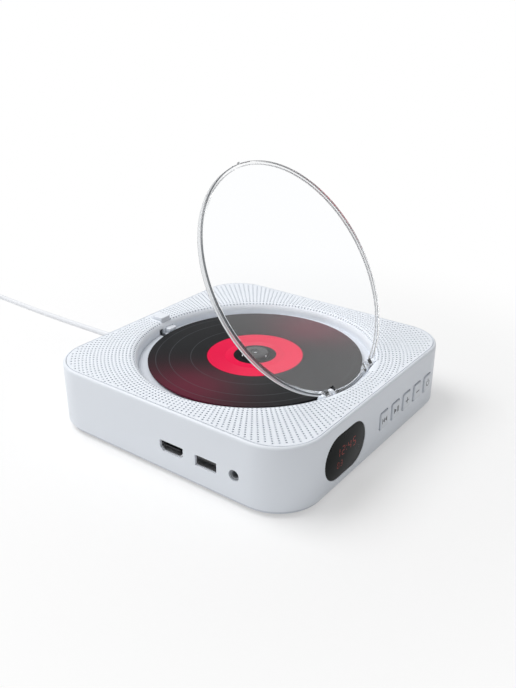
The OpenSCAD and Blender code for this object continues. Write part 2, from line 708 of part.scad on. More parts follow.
// Gears with straight flanks. Rack and wheel share one tooth module
function tooth(m, n, i) = let(
        r = m * n / 2,
        a = 360 / n,
        low = r - 1.2 * m,
        high = r + 0.85 * m,
        base = a * (tooth_share + 0.2) / 2,
        tip = a * (tooth_share - 0.16) / 2)
    [for (p = [[low, -base], [high, -tip], [high, tip], [low, base]])
        p[0] * [cos(p[1] + i * a), sin(p[1] + i * a)]];
module gear(m, n, h, bore) linear_extrude(h) difference() {
    polygon([for (i = [0:n - 1]) for (p = tooth(m, n, i)) p]);
    circle(bore);
}
module sled_rack() color([0.9, 0.9, 0.85]) {
    pitch = PI * rack_module;
    line = rack_x + 0.9 * rack_module + 2.2;
    block([rod_x + 2.5, sled_y, rack_z], [rack_x + 0.1, sled_y + sled_l, rack_z + rack_h]);
    block([rack_x, rack_y0, rack_z], [line - 1.2 * rack_module, rack_y1, rack_z + rack_h]);
    for (k = [-18:2]) {
        y = gear_y + (k + 0.5) * pitch;
        if (y > rack_y0 + pitch / 2 && y < rack_y1 - pitch / 2)
            translate([line, y, rack_z]) linear_extrude(rack_h)
                polygon([[-1.2 * rack_module - 0.05, -pitch * (tooth_share + 0.16) / 2],
                         [0.85 * rack_module, -pitch * (tooth_share - 0.2) / 2],
                         [0.85 * rack_module, pitch * (tooth_share - 0.2) / 2],
                         [-1.2 * rack_module - 0.05, pitch * (tooth_share + 0.16) / 2]]);
    }
}
module drive_gear() color([0.9, 0.9, 0.85]) translate([gear_x, gear_y, 0]) {
    translate([0, 0, rack_z - 0.5]) rotate(180) gear(rack_module, drive_teeth, rack_h + 1, axle_r + run_gap);
    translate([0, 0, wheel_z]) rotate(-45 + 180 / wheel_teeth)
        gear(wheel_module, wheel_teeth, wheel_h, axle_r + run_gap);
    translate([0, 0, wheel_z + wheel_h - 0.1])
        ring(2.6, axle_r + run_gap, rack_z - 0.4 - wheel_z - wheel_h + 0.1);
}
module gear_axle() color(steel) translate([gear_x, gear_y, wheel_z - 0.8]) {
    cylinder(r = axle_r - 0.01, h = chassis_top - wheel_z + 0.8);
    translate([0, 0, -0.6]) cylinder(r = 1.8, h = 0.61);
}
module sled_motor() color(steel) translate([motor_xy.x, motor_xy.y, sled_motor_z])
    cylinder(r = sled_motor_r, h = chassis_z - sled_motor_z);
module motor_pinion() color([0.9, 0.9, 0.85]) translate([motor_xy.x, motor_xy.y, 0]) {
    translate([0, 0, wheel_z - 0.3]) rotate(135) gear(wheel_module, pinion_teeth, wheel_h + 0.8, 0.7);
    translate([0, 0, wheel_z - 0.3]) cylinder(r = 0.75, h = wheel_h + 1.2);
}

// Boards and sockets
module main_board() color(green)
    block([board_x[0], board_y[0], board_top - board_t], [board_x[1], board_y[1], board_top]);
module board_chips() color(black) {
    for (c = chips)
        translate([board_x[0] + c[0], board_y[0] + c[1], board_top]) cube([c[2], c[3], c[4]]);
    for (x = [board_x[0] + 12, board_x[1] - 5])
        translate([x, board_y[1] - 8, board_top]) cylinder(r = capacitor_r, h = 7);
}
module socket_box(x, size, wall, tongue_t) difference() {
    block([x - size.x / 2, -half + 0.2, board_top], [x + size.x / 2, -half + 0.2 + size.y, board_top + size.z]);
    block([x - size.x / 2 + wall, -half - 1, board_top + wall],
          [x + size.x / 2 - wall, -half + 0.2 + size.y - wall, board_top + size.z - wall]);
}
module video_socket() color(steel) {
    socket_box(video_x, video_size, 0.5);
    block([video_x - 5, -half + 1.4, board_top + 2.6], [video_x + 5, -half + video_size.y, board_top + 3.4]);
}
module data_socket() color(steel) {
    socket_box(data_x, data_size, 0.4);
    block([data_x - 5, -half + 1.4, board_top + 3.4], [data_x + 5, -half + data_size.y, board_top + 5]);
}
module phone_socket() color(black) difference() {
    union() {
        block([phone_x - 3.6, -inner + 0.3, board_top], [phone_x + 3.6, -inner + 12, board_top + 7]);
        translate([phone_x, -inner + 1, phone_z]) rotate([90, 0, 0]) cylinder(r = phone_nose_r, h = wall_t + 1);
    }
    translate([phone_x, -inner + 10.5, phone_z]) rotate([90, 0, 0]) cylinder(r = phone_bore_r, h = 16);
}
module power_board() color(green)
    block([-inner + 0.6, power_y - 9, power_board_z],
          [-inner + 0.6 + power_board_l, power_y + 9, power_board_z + board_t]);
module power_socket() color(black) {
    difference() {
        union() {
            block([-inner + 0.3, power_y - 4.5, power_z - 4.5],
                  [-inner + power_socket_l, power_y + 4.5, power_z + 4.5]);
            translate([-half, power_y, power_z]) rotate([0, 90, 0]) cylinder(r = power_nose_r, h = wall_t + 1);
        }
        translate([-half - 1, power_y, power_z]) rotate([0, 90, 0]) cylinder(r = power_bore_r, h = 12);
    }
    translate([-half + 1, power_y, power_z]) rotate([0, 90, 0]) cylinder(r = 0.9, h = 11);
}

// Display and keys
module display_window() color(black)
    translate([half - module_back[0], -window_y, window_z]) pill_x(window_l, window_h, module_back[0] - 0.1);
module display_module() color([0.2, 0.2, 0.2]) {
    block([half - module_back[1], -window_y - module_size.x / 2, window_z - module_size.y / 2],
          [half - module_back[0], -window_y + module_size.x / 2, window_z + module_size.y / 2]);
    color(green) block([half - module_back[2], -window_y - module_board.x / 2, window_z - module_board.y / 2],
                       [half - module_back[1], -window_y + module_board.x / 2, window_z + module_board.y / 2]);
}
module key(i) color(pale) {
    block([key_inner, key_y(i) - key_w / 2, key_z - key_h / 2],
          [half + key_proud - 0.3, key_y(i) + key_w / 2, key_z + key_h / 2]);
    block([half, key_y(i) - key_w / 2 + 0.3, key_z - key_h / 2 + 0.3],
          [half + key_proud, key_y(i) + key_w / 2 - 0.3, key_z + key_h / 2 - 0.3]);
    block([key_inner, key_y(i) - key_w / 2 - key_flange, key_z - key_h / 2 - key_flange],
          [inner - 0.1, key_y(i) + key_w / 2 + key_flange, key_z + key_h / 2 + key_flange]);
}
module key_board() color(green)
    block([key_board_x - board_t, key_y(0) - 7, key_z - 8], [key_board_x, key_y(4) + 7, key_z + 8]);
module key_switches() color(black) for (i = [0:4]) {
    block([key_board_x, key_y(i) - 3, key_z - 3], [key_board_x + switch_h - 1, key_y(i) + 3, key_z + 3]);
    translate([key_board_x + switch_h - 1.1, key_y(i), key_z]) rotate([0, 90, 0]) cylinder(r = 1.6, h = 1.1);
}

// Speakers under the two rear corners of the deck
module speaker(s) color(steel) translate([s * speaker_xy, speaker_xy, 0]) difference() {
    union() {
        translate([0, 0, panel_z - 2]) cylinder(r = speaker_r, h = 2);
        translate([0, 0, panel_z - 9]) cylinder(r1 = 8, r2 = speaker_r - 1.5, h = 7.1);
        translate([0, 0, panel_z - speaker_h]) cylinder(r = 8.5, h = 6.1);
    }
    translate([0, 0, panel_z - 8]) cylinder(r1 = 5, r2 = speaker_r - 2.6, h = 8.1);
    block([-2, -2, panel_z - 9], [2, 2, panel_z - 7]);
}
module speaker_cone(s) color(black) translate([s * speaker_xy, speaker_xy, 0]) difference() {
    translate([0, 0, panel_z - 7.9]) cylinder(r1 = 5, r2 = speaker_r - 4.1, h = 6.6);
    translate([0, 0, panel_z - 7.3]) cylinder(r1 = 4.4, r2 = speaker_r - 4.4, h = 6.1);
}

// Power plug in its socket, with a tapered sleeve over the lead
module power_plug() color(white) translate([plug_x, power_y, power_z]) rotate([0, -90, 0]) difference() {
    union() {
        cylinder(r = plug_r, h = plug_l);
        translate([0, 0, plug_l - 0.01]) cylinder(r1 = plug_r - 0.8, r2 = cord_d / 2 + 0.3, h = sleeve_l + 0.01);
        translate([0, 0, -9.5]) cylinder(r = barrel_r, h = 9.6);
    }
    translate([0, 0, -10]) cylinder(r = 1, h = 10.5);
}

// One tube through a list of points, with flat ends square to the line
function unit(v) = v / norm(v);
function along(p, i) = unit(p[min(i + 1, len(p) - 1)] - p[max(i - 1, 0)]);
function rim_points(p, i, r, n) = let(
        t = along(p, i),
        side = unit(cross([0, 0, 1], t)),
        up = cross(t, side))
    [for (k = [0:n - 1]) p[i] + r * (cos(360 * (k + 0.5) / n) * side + sin(360 * (k + 0.5) / n) * up)];
module tube(p, r, n) polyhedron(
    points = [for (i = [0:len(p) - 1]) each rim_points(p, i, r, n)],
    faces = concat(
        [for (i = [0:len(p) - 2], k = [0:n - 1]) [i * n + k, (i + 1) * n + k, (i + 1) * n + (k + 1) % n]],
        [for (i = [0:len(p) - 2], k = [0:n - 1]) [i * n + k, (i + 1) * n + (k + 1) % n, i * n + (k + 1) % n]],
        [for (k = [1:n - 2]) [0, k, k + 1]],
        [for (k = [1:n - 2]) let(e = (len(p) - 1) * n) [e, e + k + 1, e + k]]));
module power_cord() color(white) tube(cord_route, cord_d / 2, 8);

// Coil in two layers: inwards below, outwards above, then out to the far plug
function ease(u) = let(v = min(1, max(0, u))) v * v * (3 - 2 * v);
function coil_r(s) = s < coil_turns ? coil_outer - coil_step * s
    : s < 2 * coil_turns ? coil_inner + coil_step * (s - coil_turns)
    : coil_outer + coil_step * tail_out * (s - 2 * coil_turns);
function coil_height(s) = s < 2 * coil_turns
    ? coil_z + coil_step * ease((s - coil_turns + 0.25) * 2)
    : top_z + (grip_z - top_z) * ease((s - 2 * coil_turns - 0.1) / 0.4);
function coil_point(s) = [coil_centre.x + coil_r(s) * cos(90 + 360 * s),
                          coil_centre.y + coil_r(s) * sin(90 + 360 * s), coil_height(s)];
module cord_coil() color(white) tube(coil_points, cord_d / 2, 6);
function path_length(p, i = 0) = i >= len(p) - 1 ? 0 : norm(p[i + 1] - p[i]) + path_length(p, i + 1);
echo(lead_length = path_length(cord_route) + path_length(coil_points), least_gap_in_coil = least);

// Band round the coil and plug at the far end
module cord_tie() color(black) difference() {
    block([tie_x[0] - 0.7, coil_centre.y - tie_w / 2, 0.05],
          [tie_x[1] + 0.7, coil_centre.y + tie_w / 2, top_z + cord_d / 2 + 1.1]);
    block([tie_x[0], coil_centre.y - tie_w, tie_t - 0.15],
          [tie_x[1], coil_centre.y + tie_w, top_z + cord_d / 2 + 0.3]);
}
module far_plug() color(white) translate(tail_end) {
    rotate([0, 90, 0]) cylinder(r1 = cord_d / 2 + 0.3, r2 = 3, h = far_sleeve);
    block([far_sleeve - 0.1, -7.5, -grip_h / 2], [far_sleeve + grip_l, 7.5, grip_h / 2]);
    color(steel) difference() {
        block([far_sleeve + grip_l - 0.1, -6, -2.25], [far_sleeve + grip_l + 12, 6, 2.25]);
        block([far_sleeve + grip_l + 1, -5.7, -0.2], [far_sleeve + grip_l + 13, 5.7, 1.95]);
    }
}

body_shell();
deck_panel();
disc_tray();
bottom_cover();
foot(0);  // foot_1
foot(1);  // foot_2
foot(2);  // foot_3
foot(3);  // foot_4
case_screws();
lid();
hinge_bracket(-1);  // hinge_bracket_1
hinge_bracket(1);  // hinge_bracket_2
hinge_pin(-1);  // hinge_pin_1
hinge_pin(1);  // hinge_pin_2
lid_springs();
release_key();
release_spring();
lid_catch();
lid_switch();
disc();
turntable();
spindle();
spindle_motor();
hub_balls();
chassis();
dampers();
guide_rod(-1);  // guide_rod_1
guide_rod(1);  // guide_rod_2
pickup_sled();
pickup_lens();
sled_rack();
drive_gear();
gear_axle();
sled_motor();
motor_pinion();
main_board();
board_chips();
video_socket();
data_socket();
phone_socket();
power_board();
power_socket();
display_window();
display_module();
key_board();
key_switches();
key(0);  // key_1
key(1);  // key_2
key(2);  // key_3
key(3);  // key_4
key(4);  // key_5
speaker(-1);  // speaker_1
speaker(1);  // speaker_2
speaker_cone(-1);  // speaker_cone_1
speaker_cone(1);  // speaker_cone_2
power_plug();
power_cord();
cord_coil();
cord_tie();
far_plug();
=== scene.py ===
import math
import bmesh
import bpy
from mathutils import Matrix, Vector


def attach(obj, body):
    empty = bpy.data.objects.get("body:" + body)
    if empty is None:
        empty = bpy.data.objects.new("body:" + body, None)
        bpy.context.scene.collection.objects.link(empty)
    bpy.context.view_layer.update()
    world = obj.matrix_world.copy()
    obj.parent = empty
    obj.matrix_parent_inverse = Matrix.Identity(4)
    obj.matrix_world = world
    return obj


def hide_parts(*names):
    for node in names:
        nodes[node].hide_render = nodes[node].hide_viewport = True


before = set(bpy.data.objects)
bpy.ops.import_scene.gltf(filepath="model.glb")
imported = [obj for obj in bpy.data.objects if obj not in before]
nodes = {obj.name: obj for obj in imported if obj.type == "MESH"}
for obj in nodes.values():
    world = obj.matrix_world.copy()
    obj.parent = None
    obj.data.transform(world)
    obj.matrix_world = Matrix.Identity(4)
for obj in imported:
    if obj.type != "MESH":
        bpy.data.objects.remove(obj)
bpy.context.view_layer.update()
scene = bpy.context.scene
mm = 0.001


# camera

view = dict(target=(-17.67, 27.32, 25.0), azimuth=36.55, elevation=24.88, distance=462.8, lens=39.65)


def makeCamera(v):
    az, el = math.radians(v["azimuth"]), math.radians(v["elevation"])
    back = Vector((math.sin(az) * math.cos(el), -math.cos(az) * math.cos(el), math.sin(el)))
    data = bpy.data.cameras.new("camera")
    data.sensor_fit, data.sensor_width, data.lens = "AUTO", 36.0, v["lens"]
    data.clip_start, data.clip_end = 0.01, 200
    camera = bpy.data.objects.new("camera", data)
    scene.collection.objects.link(camera)
    camera.location = (Vector(v["target"]) + back * v["distance"]) * mm
    camera.rotation_mode = "QUATERNION"
    camera.rotation_quaternion = (-back).to_track_quat("-Z", "Y")
    scene.camera = camera


makeCamera(view)
scene.view_settings.view_transform = "Standard"


# small mesh tools

def smoothed(mesh, sharp):
    mesh.shade_smooth()
    mesh.set_sharp_from_angle(angle=math.radians(sharp))


def finishMesh(name, bm, materials, sharp=32, clean=True):
    if clean:
        bmesh.ops.remove_doubles(bm, verts=bm.verts, dist=1e-6)
        bmesh.ops.recalc_face_normals(bm, faces=bm.faces)
    mesh = bpy.data.meshes.new(name)
    bm.to_mesh(mesh)
    bm.free()
    for material in materials:
        mesh.materials.append(material)
    smoothed(mesh, sharp)
    obj = bpy.data.objects.new(name, mesh)
    scene.collection.objects.link(obj)
    return obj


def loft(bm, loops, closed=False, slot=0):
    # skins loops of equal count, in metres
    rows = [[bm.verts.new(p) for p in loop] for loop in loops]
    count = len(rows[0])
    pairs = list(zip(rows, rows[1:])) + ([(rows[-1], rows[0])] if closed else [])
    for a, b in pairs:
        for i in range(count):
            j = (i + 1) % count
            bm.faces.new((a[i], a[j], b[j], b[i])).material_index = slot
    if not closed:
        bm.faces.new(rows[0][::-1]).material_index = slot
        bm.faces.new(rows[-1]).material_index = slot


def lathe(bm, profile, steps, matrix=Matrix(), closed=False, slot=0):
    # profile: (radius, height) in mm. An end on the axis closes as a pole
    def ring(r, z):
        return [matrix @ Vector((r * math.cos(a), r * math.sin(a), z)) * mm
                for a in (2 * math.pi * k / steps for k in range(steps))]
    rows = [ring(r, z) if r > 1e-6 else [matrix @ Vector((0, 0, z)) * mm] for r, z in profile]
    made = [[bm.verts.new(p) for p in row] for row in rows]
    pairs = list(zip(made, made[1:])) + ([(made[-1], made[0])] if closed else [])
    for a, b in pairs:
        for i in range(steps):
            j = (i + 1) % steps
            if len(a) == 1 and len(b) == 1:
                continue
            corners = [a[0] if len(a) == 1 else a[i], None if len(a) == 1 else a[j],
                       b[0] if len(b) == 1 else b[j], None if len(b) == 1 else b[i]]
            face = bm.faces.new([c for c in corners if c is not None])
            face.material_index = slot
    if not closed:
        for row in (made[0], made[-1]):
            if len(row) > 1:
                bm.faces.new(row).material_index = slot


def squareLoop(half, corner, z, arcSteps=16):
    # rounded square seen from above, in mm, given back in metres
    points = []
    for quarter in range(4):
        start = quarter * math.pi / 2
        cx = (half - corner) * (1 if quarter in (0, 3) else -1)
        cy = (half - corner) * (1 if quarter in (0, 1) else -1)
        for k in range(arcSteps + 1):
            a = start + math.pi / 2 * k / arcSteps
            points.append(Vector((cx + corner * math.cos(a), cy + corner * math.sin(a), z)) * mm)
    return points


def rectLoop(wide, tall, corner, arcSteps=5):
    # rounded rectangle as flat (u, v) points in mm
    points = []
    for quarter in range(4):
        start = quarter * math.pi / 2
        cx = (wide / 2 - corner) * (1 if quarter in (0, 3) else -1)
        cy = (tall / 2 - corner) * (1 if quarter in (0, 1) else -1)
        for k in range(arcSteps + 1):
            a = start + math.pi / 2 * k / arcSteps
            points.append((cx + corner * math.cos(a), cy + corner * math.sin(a)))
    return points


def onSide(points, side, at, centre):
    # flat points stood on a side: side "x" has u along Y, side "-y" has u along X
    if side == "x":
        return [Vector((at, centre[0] + u, centre[1] + v)) * mm for u, v in points]
    return [Vector((centre[0] + u, at, centre[1] + v)) * mm for u, v in points]


def box(bm, low, high, slot=0):
    verts = [bm.verts.new(Vector((x, y, z)) * mm)
             for x in (low[0], high[0]) for y in (low[1], high[1]) for z in (low[2], high[2])]
    for quad in ((0, 1, 3, 2), (4, 6, 7, 5), (0, 4, 5, 1), (2, 3, 7, 6), (0, 2, 6, 4), (1, 5, 7, 3)):
        bm.faces.new([verts[i] for i in quad]).material_index = slot


def applied(obj):
    # the modifiers become plain mesh
    old = obj.data
    obj.data = bpy.data.meshes.new_from_object(obj.evaluated_get(bpy.context.evaluated_depsgraph_get()))
    obj.modifiers.clear()
    bpy.data.meshes.remove(old)
    return obj


def cut(obj, cutter, operation="DIFFERENCE"):
    modifier = obj.modifiers.new("cut", "BOOLEAN")
    modifier.object, modifier.operation, modifier.solver = cutter, operation, "EXACT"
    applied(obj)
    bpy.data.objects.remove(cutter)
    return obj


def bevel(obj, width, segments=2, angle=35, sharp=40):
    modifier = obj.modifiers.new("bevel", "BEVEL")
    modifier.width, modifier.segments, modifier.limit_method = width * mm, segments, "ANGLE"
    modifier.angle_limit = math.radians(angle)
    modifier.use_clamp_overlap = True
    smoothed(applied(obj).data, sharp)
    return obj


def place(obj, body, slot, *replaced):
    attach(obj, body)
    if replaced:
        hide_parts(*replaced)
    return obj


# shader groups

def nodeGroup(name, inputs, outputs):
    group = bpy.data.node_groups.new(name, "ShaderNodeTree")
    for label, kind, value in inputs:
        socket = group.interface.new_socket(label, in_out="INPUT", socket_type=kind)
        if value is not None:
            socket.default_value = value
    for label, kind in outputs:
        group.interface.new_socket(label, in_out="OUTPUT", socket_type=kind)
    return group, group.nodes.new("NodeGroupInput"), group.nodes.new("NodeGroupOutput")


def feed(tree, node, values):
    # each input gets a value, or a socket to link
    for key, value in values.items():
        if isinstance(value, bpy.types.NodeSocket):
            tree.links.new(value, node.inputs[key])
        else:
            node.inputs[key].default_value = value
    return node


def wire(tree, kind, values=None, **settings):
    node = tree.nodes.new(kind)
    for key, value in settings.items():
        setattr(node, key, value)
    return feed(tree, node, values or {})


def mixColour(tree, factor, a, b, blend="MIX"):
    node = wire(tree, "ShaderNodeMix", data_type="RGBA", blend_type=blend)
    enabled = [k for k, socket in enumerate(node.inputs) if socket.enabled]
    feed(tree, node, dict(zip(enabled, (factor, a, b))))
    return next(socket for socket in node.outputs if socket.enabled)


def objectPlace(tree):
    return tree.nodes.new("ShaderNodeTexCoord").outputs["Object"]


def shaded(tree, colour, shade):
    grey = wire(tree, "ShaderNodeCombineColor", {"Red": shade, "Green": shade, "Blue": shade})
    return mixColour(tree, 1.0, colour, grey.outputs[0], "MULTIPLY")


def maths(tree, operation, *values):
    return wire(tree, "ShaderNodeMath", dict(enumerate(values)), operation=operation).outputs[0]


floatKind, colourKind, vectorKind = "NodeSocketFloat", "NodeSocketColor", "NodeSocketVector"


def buildMouldedSkin():
    # fine spark-eroded grain with a faint drift of tone, as on injection moulded plastic
    group, gin, gout = nodeGroup(
        "mouldedSkin",
        [("Colour", colourKind, (0.8, 0.8, 0.8, 1)), ("Grain Scale", floatKind, 2600.0),
         ("Tone", floatKind, 0.03), ("Roughness", floatKind, 0.4)],
        [("Colour", colourKind), ("Roughness", floatKind), ("Height", floatKind)])
    where, asked = objectPlace(group), gin.outputs
    grain = wire(group, "ShaderNodeTexNoise", {"Vector": where, "Scale": asked["Grain Scale"], "Detail": 3.0})
    drift = wire(group, "ShaderNodeTexNoise", {"Vector": where, "Scale": 28.0, "Detail": 2.0})
    shade = maths(group, "MULTIPLY_ADD", drift.outputs[0], asked["Tone"],
                  maths(group, "MULTIPLY_ADD", asked["Tone"], -0.5, 1.0))
    dull = maths(group, "MULTIPLY_ADD", grain.outputs[0], 0.12, maths(group, "ADD", asked["Roughness"], -0.06))
    feed(group, gout, {"Colour": shaded(group, asked["Colour"], shade), "Roughness": dull,
                       "Height": grain.outputs[0]})
    return group


def buildDrawnMetal():
    # fine lines left by drawing or turning, along one axis
    group, gin, gout = nodeGroup(
        "drawnMetal",
        [("Colour", colourKind, (0.6, 0.6, 0.6, 1)), ("Stretch", vectorKind, (1, 1, 0.05)),
         ("Line Scale", floatKind, 900.0), ("Roughness", floatKind, 0.3)],
        [("Colour", colourKind), ("Roughness", floatKind), ("Height", floatKind)])
    asked = gin.outputs
    pulled = wire(group, "ShaderNodeVectorMath", {0: objectPlace(group), 1: asked["Stretch"]}, operation="MULTIPLY")
    lines = wire(group, "ShaderNodeTexNoise",
                 {"Vector": pulled.outputs[0], "Scale": asked["Line Scale"], "Detail": 4.0})
    shade = maths(group, "MULTIPLY_ADD", lines.outputs[0], 0.3, 0.85)
    dull = maths(group, "MULTIPLY_ADD", lines.outputs[0], 0.2, asked["Roughness"])
    feed(group, gout, {"Colour": shaded(group, asked["Colour"], shade), "Roughness": dull,
                       "Height": lines.outputs[0]})
    return group


def buildFineMarks():
    # hairline rubs and a little dust on polished faces
    group, gin, gout = nodeGroup(
        "fineMarks", [("Roughness", floatKind, 0.05), ("Amount", floatKind, 0.06)], [("Roughness", floatKind)])
    rubs = wire(group, "ShaderNodeTexNoise",
                {"Vector": objectPlace(group), "Scale": 60.0, "Detail": 5.0, "Distortion": 1.5})
    feed(group, gout, {"Roughness": maths(group, "MULTIPLY_ADD", rubs.outputs[0], gin.outputs["Amount"],
                                          gin.outputs["Roughness"])})
    return group


mouldedSkin, drawnMetal, fineMarks = buildMouldedSkin(), buildDrawnMetal(), buildFineMarks()


# materials

def newMaterial(name):
    material = bpy.data.materials.new(name)
    material.use_nodes = True
    tree = material.node_tree
    return material, tree, tree.nodes["Principled BSDF"]


def rgb(r, g, b):
    # screen colour 0-255 as scene-linear
    return tuple(((c / 255 + 0.055) / 1.055) ** 2.4 if c > 10 else c / 255 / 12.92 for c in (r, g, b)) + (1.0,)


def grouped(tree, group, values):
    return wire(tree, "ShaderNodeGroup", values, node_tree=group)


def surfaced(name, group, values, relief, height, more):
    # colour, roughness and fine relief come from a shader group
    material, tree, shader = newMaterial(name)
    skin = grouped(tree, group, values)
    bump = wire(tree, "ShaderNodeBump", {"Strength": relief, "Distance": height, "Height": skin.outputs["Height"]})
    feed(tree, shader, {"Base Color": skin.outputs["Colour"], "Roughness": skin.outputs["Roughness"],
                        "Normal": bump.outputs[0], **more})
    return material


def moulded(name, colour, roughness=0.42, grain=2600.0, height=0.00002, tone=0.03, coat=0.0):
    return surfaced(name, mouldedSkin, {"Colour": colour, "Grain Scale": grain, "Tone": tone, "Roughness": roughness},
                    0.35, height, {"Coat Weight": coat})


def metal(name, colour, roughness=0.28, stretch=(1, 1, 0.05), scale=900.0):
    return surfaced(name, drawnMetal, {"Colour": colour, "Stretch": stretch, "Line Scale": scale,
                                       "Roughness": roughness}, 0.2, 0.00002, {"Metallic": 1.0})


def clear(name, colour, tint, roughness=0.0, through=1.0, shine=0.22, rubs=0.004):
    material, tree, shader = newMaterial(name)
    marks = grouped(tree, fineMarks, {"Roughness": roughness, "Amount": rubs})
    feed(tree, shader, {"Roughness": marks.outputs["Roughness"], "Base Color": colour, "IOR": acrylicIor,
                        "Transmission Weight": through, "Specular IOR Level": shine})
    # lamps shine through, so the lid throws no black shadow
    path = tree.nodes.new("ShaderNodeLightPath")
    shadow = wire(tree, "ShaderNodeBsdfTransparent", {"Color": tint})
    mixed = wire(tree, "ShaderNodeMixShader", {0: path.outputs["Is Shadow Ray"], 1: shader.outputs[0],
                                               2: shadow.outputs[0]})
    feed(tree, tree.nodes["Material Output"], {"Surface": mixed.outputs[0]})
    return material


def glossy(name, colour, roughness=0.08, coat=1.0, shine=0.5):
    material, tree, shader = newMaterial(name)
    marks = grouped(tree, fineMarks, {"Roughness": roughness, "Amount": 0.06})
    skin = grouped(tree, mouldedSkin, {"Colour": colour, "Grain Scale": 400.0, "Tone": 0.1, "Roughness": 0.3})
    feed(tree, shader, {"Base Color": skin.outputs["Colour"], "Roughness": marks.outputs["Roughness"],
                        "Specular IOR Level": shine, "Coat Weight": coat, "Coat Roughness": 0.04})
    return material


def circuitBoard(name):
    # green lacquer over copper tracks on a fine grid
    material, tree, shader = newMaterial(name)
    where = objectPlace(tree)
    bricks = wire(tree, "ShaderNodeTexBrick",
                  {"Vector": where, "Scale": 260.0, "Color1": rgb(22, 92, 52), "Color2": rgb(16, 78, 44),
                   "Mortar": rgb(60, 130, 74), "Mortar Size": 0.05}, offset=0.5)
    drops = wire(tree, "ShaderNodeTexVoronoi", {"Vector": where, "Scale": 330.0})
    pads = maths(tree, "LESS_THAN", drops.outputs["Distance"], 0.16)
    bump = wire(tree, "ShaderNodeBump", {"Strength": 0.5, "Distance": 0.00005, "Height": bricks.outputs["Fac"]})
    feed(tree, shader, {"Base Color": mixColour(tree, pads, bricks.outputs["Color"], rgb(190, 170, 110)),
                        "Roughness": 0.35, "Normal": bump.outputs[0]})
    return material


def recordPrintAndSheen(name, d):
    # black pressed face with grooves and wider bands, red label, black middle, and two dark red fans of painted sheen
    material, tree, shader = newMaterial(name)

    def do(operation, *values):
        return maths(tree, operation, *values)

    def ramp(value, **ends):
        labels = {"low": "From Min", "high": "From Max", "start": "To Min", "end": "To Max"}
        return wire(tree, "ShaderNodeMapRange", {"Value": value, **{labels[key]: end for key, end in ends.items()}},
                    interpolation_type="SMOOTHSTEP").outputs[0]

    def within(edge, soft=0.12):
        return ramp(radius, low=edge - soft, high=edge + soft, start=1.0, end=0.0)

    where = objectPlace(tree)
    flat = wire(tree, "ShaderNodeVectorMath", {0: where, 1: (1, 1, 0)}, operation="MULTIPLY")
    length = wire(tree, "ShaderNodeVectorMath", {0: flat.outputs[0]}, operation="LENGTH")
    radius = do("DIVIDE", length.outputs["Value"], mm)
    grooves = do("SINE", do("MULTIPLY", radius, 2 * math.pi / d["groovePitch"]))
    bands = do("COMPARE", radius, d["bands"][0], d["bandHalf"])
    for centre in d["bands"][1:]:
        bands = do("MAXIMUM", do("COMPARE", radius, centre, d["bandHalf"]), bands)
    # painted sheen: two dark red fans that face each other, fading towards the middle, turned to lie along the lamp's
    # highlight on the grooves
    xyz = wire(tree, "ShaderNodeSeparateXYZ", {0: where}).outputs
    turned = do("SUBTRACT", do("ARCTAN2", xyz["Y"], xyz["X"]), math.radians(d["sheenTurn"]))
    sheenFan = do("POWER", do("ABSOLUTE", do("COSINE", turned)), d["sheenFocus"])
    sheenOutward = ramp(radius, low=d["sheenFrom"], high=d["sheenFull"], start=0.25)
    paper = wire(tree, "ShaderNodeTexNoise", {"Vector": where, "Scale": 900.0, "Detail": 3.0})
    red = mixColour(tree, do("MULTIPLY", paper.outputs[0], 0.25), d["label"], d["labelDark"])
    colour = mixColour(tree, do("MULTIPLY_ADD", grooves, 0.12, 0.2), d["black"], d["grey"])
    colour = mixColour(tree, do("MULTIPLY", sheenFan, sheenOutward), colour, d["paintedSheenRed"])
    colour = mixColour(tree, do("MULTIPLY", bands, 0.4), colour, d["band"])
    onLabel = within(d["labelR"])
    colour = mixColour(tree, onLabel, colour, d["edge"])
    colour = mixColour(tree, within(d["labelR"] - d["edgeWide"]), colour, red)
    colour = mixColour(tree, within(d["middleR"]), colour, d["black"])
    rough = wire(tree, "ShaderNodeMapRange", {"Value": onLabel, "To Min": d["rough"], "To Max": 0.45})
    outside = do("SUBTRACT", 1.0, onLabel)
    height = do("MULTIPLY", grooves, do("SUBTRACT", outside, do("MULTIPLY", bands, outside)))
    bump = wire(tree, "ShaderNodeBump", {"Strength": 0.3, "Distance": 0.00003, "Height": height})
    tangent = wire(tree, "ShaderNodeTangent", direction_type="RADIAL", axis="Z")
    feed(tree, shader, {"Base Color": colour, "Roughness": rough.outputs[0], "Normal": bump.outputs[0],
                        "Anisotropic": 0.85, "Tangent": tangent.outputs[0], "Specular IOR Level": 0.05})
    return material


# the two dark red fans, with their colour, turn, focus and reach, are painted sheen fixed to the disc
discLook = dict(labelR=27.2, middleR=11.8, edgeWide=0.5, groovePitch=0.9, bands=(36.0, 48.0, 55.6),
                bandHalf=0.22, rough=0.34,
                label=rgb(232, 28, 76), labelDark=rgb(206, 22, 62), edge=rgb(70, 10, 26), black=rgb(20, 21, 23),
                grey=rgb(38, 40, 43), band=rgb(84, 87, 92), paintedSheenRed=rgb(92, 30, 48), sheenTurn=85.0, sheenFocus=8.0,
                sheenFrom=20.0, sheenFull=50.0)

